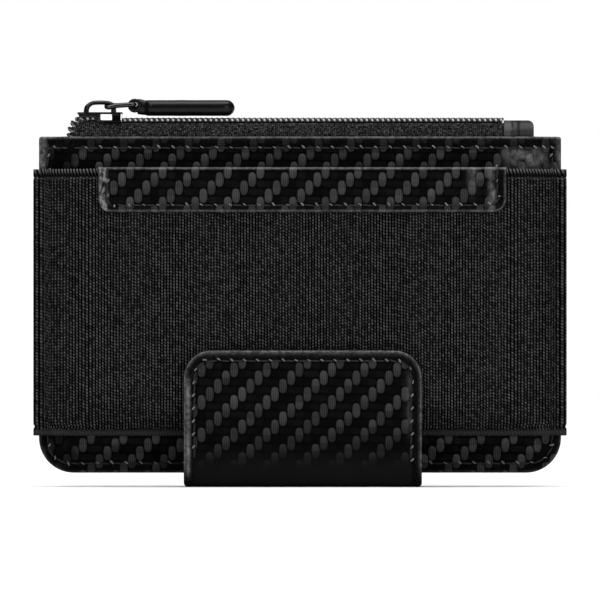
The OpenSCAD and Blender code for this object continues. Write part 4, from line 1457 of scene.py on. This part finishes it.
def makePuller():
    fine = [0, 0.02, 0.08, 0.2, 0.4, 0.65, 0.95, 1.3, 1.6, 1.9, 2.2, 2.55]
    xs = [eyeX + puller["start"] + d for d in edgeSteps(qx1 - eyeX - puller["start"], fine, 0.6)]
    verts, faces, sides, power = [], [], 40, 0.95
    for x in xs:
        tall, wide, z = pullSection(x)
        for k in range(sides):
            a = 2 * math.pi * k / sides
            c, s = math.cos(a), math.sin(a)
            y = wide * math.copysign(abs(c) ** power, c)
            up = tall * math.copysign(abs(s) ** power, s)
            seam = 0.05 * bead(abs(c), 1.0, 0.09) * ease(x, eyeX + 2.5, eyeX + 4)
            verts.append((x, mouthY + y * (1 - seam), z + up))
    for i in range(len(xs) - 1):
        for k in range(sides):
            a, b = i * sides + k, i * sides + (k + 1) % sides
            faces.append((a, b, b + sides, a + sides))
    faces.append(tuple(range(sides)))
    faces.append(tuple((len(xs) - 1) * sides + k for k in range(sides)))
    body = makeObject("pullerLeather", verts, faces, [skins["smooth"]])

    def loopSkin(out):
        def at(angle, y):
            a = math.radians(angle)
            r = puller["loopIn"]
            if out:
                r = puller["loopOut"] - 0.27 * math.sin(a) - 0.12 * math.cos(a)
                r -= 0.8 * roundOff(puller["neck"] - abs(y), 0.45)
            return eyeX + r * math.cos(a), mouthY + y, eyeZ + r * math.sin(a)
        return at
    angles = [6 + 12 * k for k in range(30)]
    across = [-puller["neck"] + d for d in edgeSteps(2 * puller["neck"], [0, 0.08, 0.18, 0.3, 0.45], 0.3)]
    loop = skinSolid("pullerLoopLeather", angles, across, loopSkin(True), loopSkin(False), [skins["smooth"]],
                     lambda a, y: (a * 0.02, y))
    return body, loop


pullerBody, pullerLoop = makePuller()
settle(pullerBody, "puller", "smooth_leather", "leather_puller")
settle(pullerLoop, "puller", "smooth_leather")
print("zip made")

# frame pieces that keep their shape
for node, finish in (("clip_core", "board"), ("clip_magnets", "magnet"), ("panel_magnets", "magnet")):
    piece = frame["nodes"][node]
    for index in range(len(piece.material_slots)):
        piece.material_slots[index].material = skins[finish]

# studio
studio = {"lens": 800.0, "sensor": 36.0, "frameWidth": 128.5, "aimZ": 39.96, "floor": 3.0,
          "worldSeen": 1.0, "worldFelt": 0.05, "sky": 3.4, "skyAngle": 70}
lamps = {"keyLamp": ((-0.55, -0.75, 0.85), 0.45, 3.4),  # place, size and power
         "fillLamp": ((0.55, -0.9, 0.3), 0.6, 2.6),
         "topLamp": ((0.0, 0.1, 0.9), 0.7, 1.5)}


def makeStudio():
    camera = bpy.data.objects.new("camera", bpy.data.cameras.new("camera"))
    scene.collection.objects.link(camera)
    camera.data.lens, camera.data.sensor_width = studio["lens"], studio["sensor"]
    away = studio["frameWidth"] * studio["lens"] / studio["sensor"]
    camera.location = (0, -away * mm, studio["aimZ"] * mm)
    camera.rotation_euler = (math.pi / 2, 0, 0)
    camera.data.clip_start, camera.data.clip_end = 0.01, 20
    scene.camera = camera
    floorMesh = bpy.data.meshes.new("studioFloor")
    wide = studio["floor"]
    corners = [(-wide, -wide, 0), (wide, -wide, 0), (wide, wide, 0), (-wide, wide, 0)]
    floorMesh.from_pydata(corners, [], [(0, 1, 2, 3)])
    floorPiece = bpy.data.objects.new("studioFloor", floorMesh)
    scene.collection.objects.link(floorPiece)
    look = Look("paleFloor")
    at, _, _, _ = look.place()
    shade = look.cloud(at, 0.004, 2.0)
    tones = ((0.9, 0.9, 0.9), (0.93, 0.93, 0.93), shade)
    floorMesh.materials.append(look.finish(tones, 0.8 + 0.1 * shade, None, {"Specular IOR Level": 0.1}))
    world = bpy.data.worlds.new("studioWorld")
    scene.world = world
    world.use_nodes = True
    tree = world.node_tree
    tree.nodes.clear()
    rays = tree.nodes.new("ShaderNodeLightPath")
    seen, felt, mix, end = (tree.nodes.new("ShaderNode" + kind)
                            for kind in ("Background", "Background", "MixShader", "OutputWorld"))
    for glow, power in ((seen, studio["worldSeen"]), (felt, studio["worldFelt"])):
        glow.inputs[0].default_value, glow.inputs[1].default_value = (1, 1, 1, 1), power
    tree.links.new(rays.outputs["Is Camera Ray"], mix.inputs[0])
    tree.links.new(felt.outputs[0], mix.inputs[1])
    tree.links.new(seen.outputs[0], mix.inputs[2])
    tree.links.new(mix.outputs[0], end.inputs[0])
    for name, (spot, size, power) in lamps.items():
        lamp = bpy.data.objects.new(name, bpy.data.lights.new(name, "AREA"))
        lamp.data.size, lamp.data.energy = size, power
        lamp.location = spot
        lamp.rotation_euler = (Vector((0, 0, 0.04)) - Vector(spot)).to_track_quat("-Z", "Y").to_euler()
        scene.collection.objects.link(lamp)
    sun = bpy.data.objects.new("skyLamp", bpy.data.lights.new("skyLamp", "SUN"))
    sun.data.energy, sun.data.angle = studio["sky"], math.radians(studio["skyAngle"])
    scene.collection.objects.link(sun)
    scene.view_settings.view_transform = "Standard"


makeStudio()
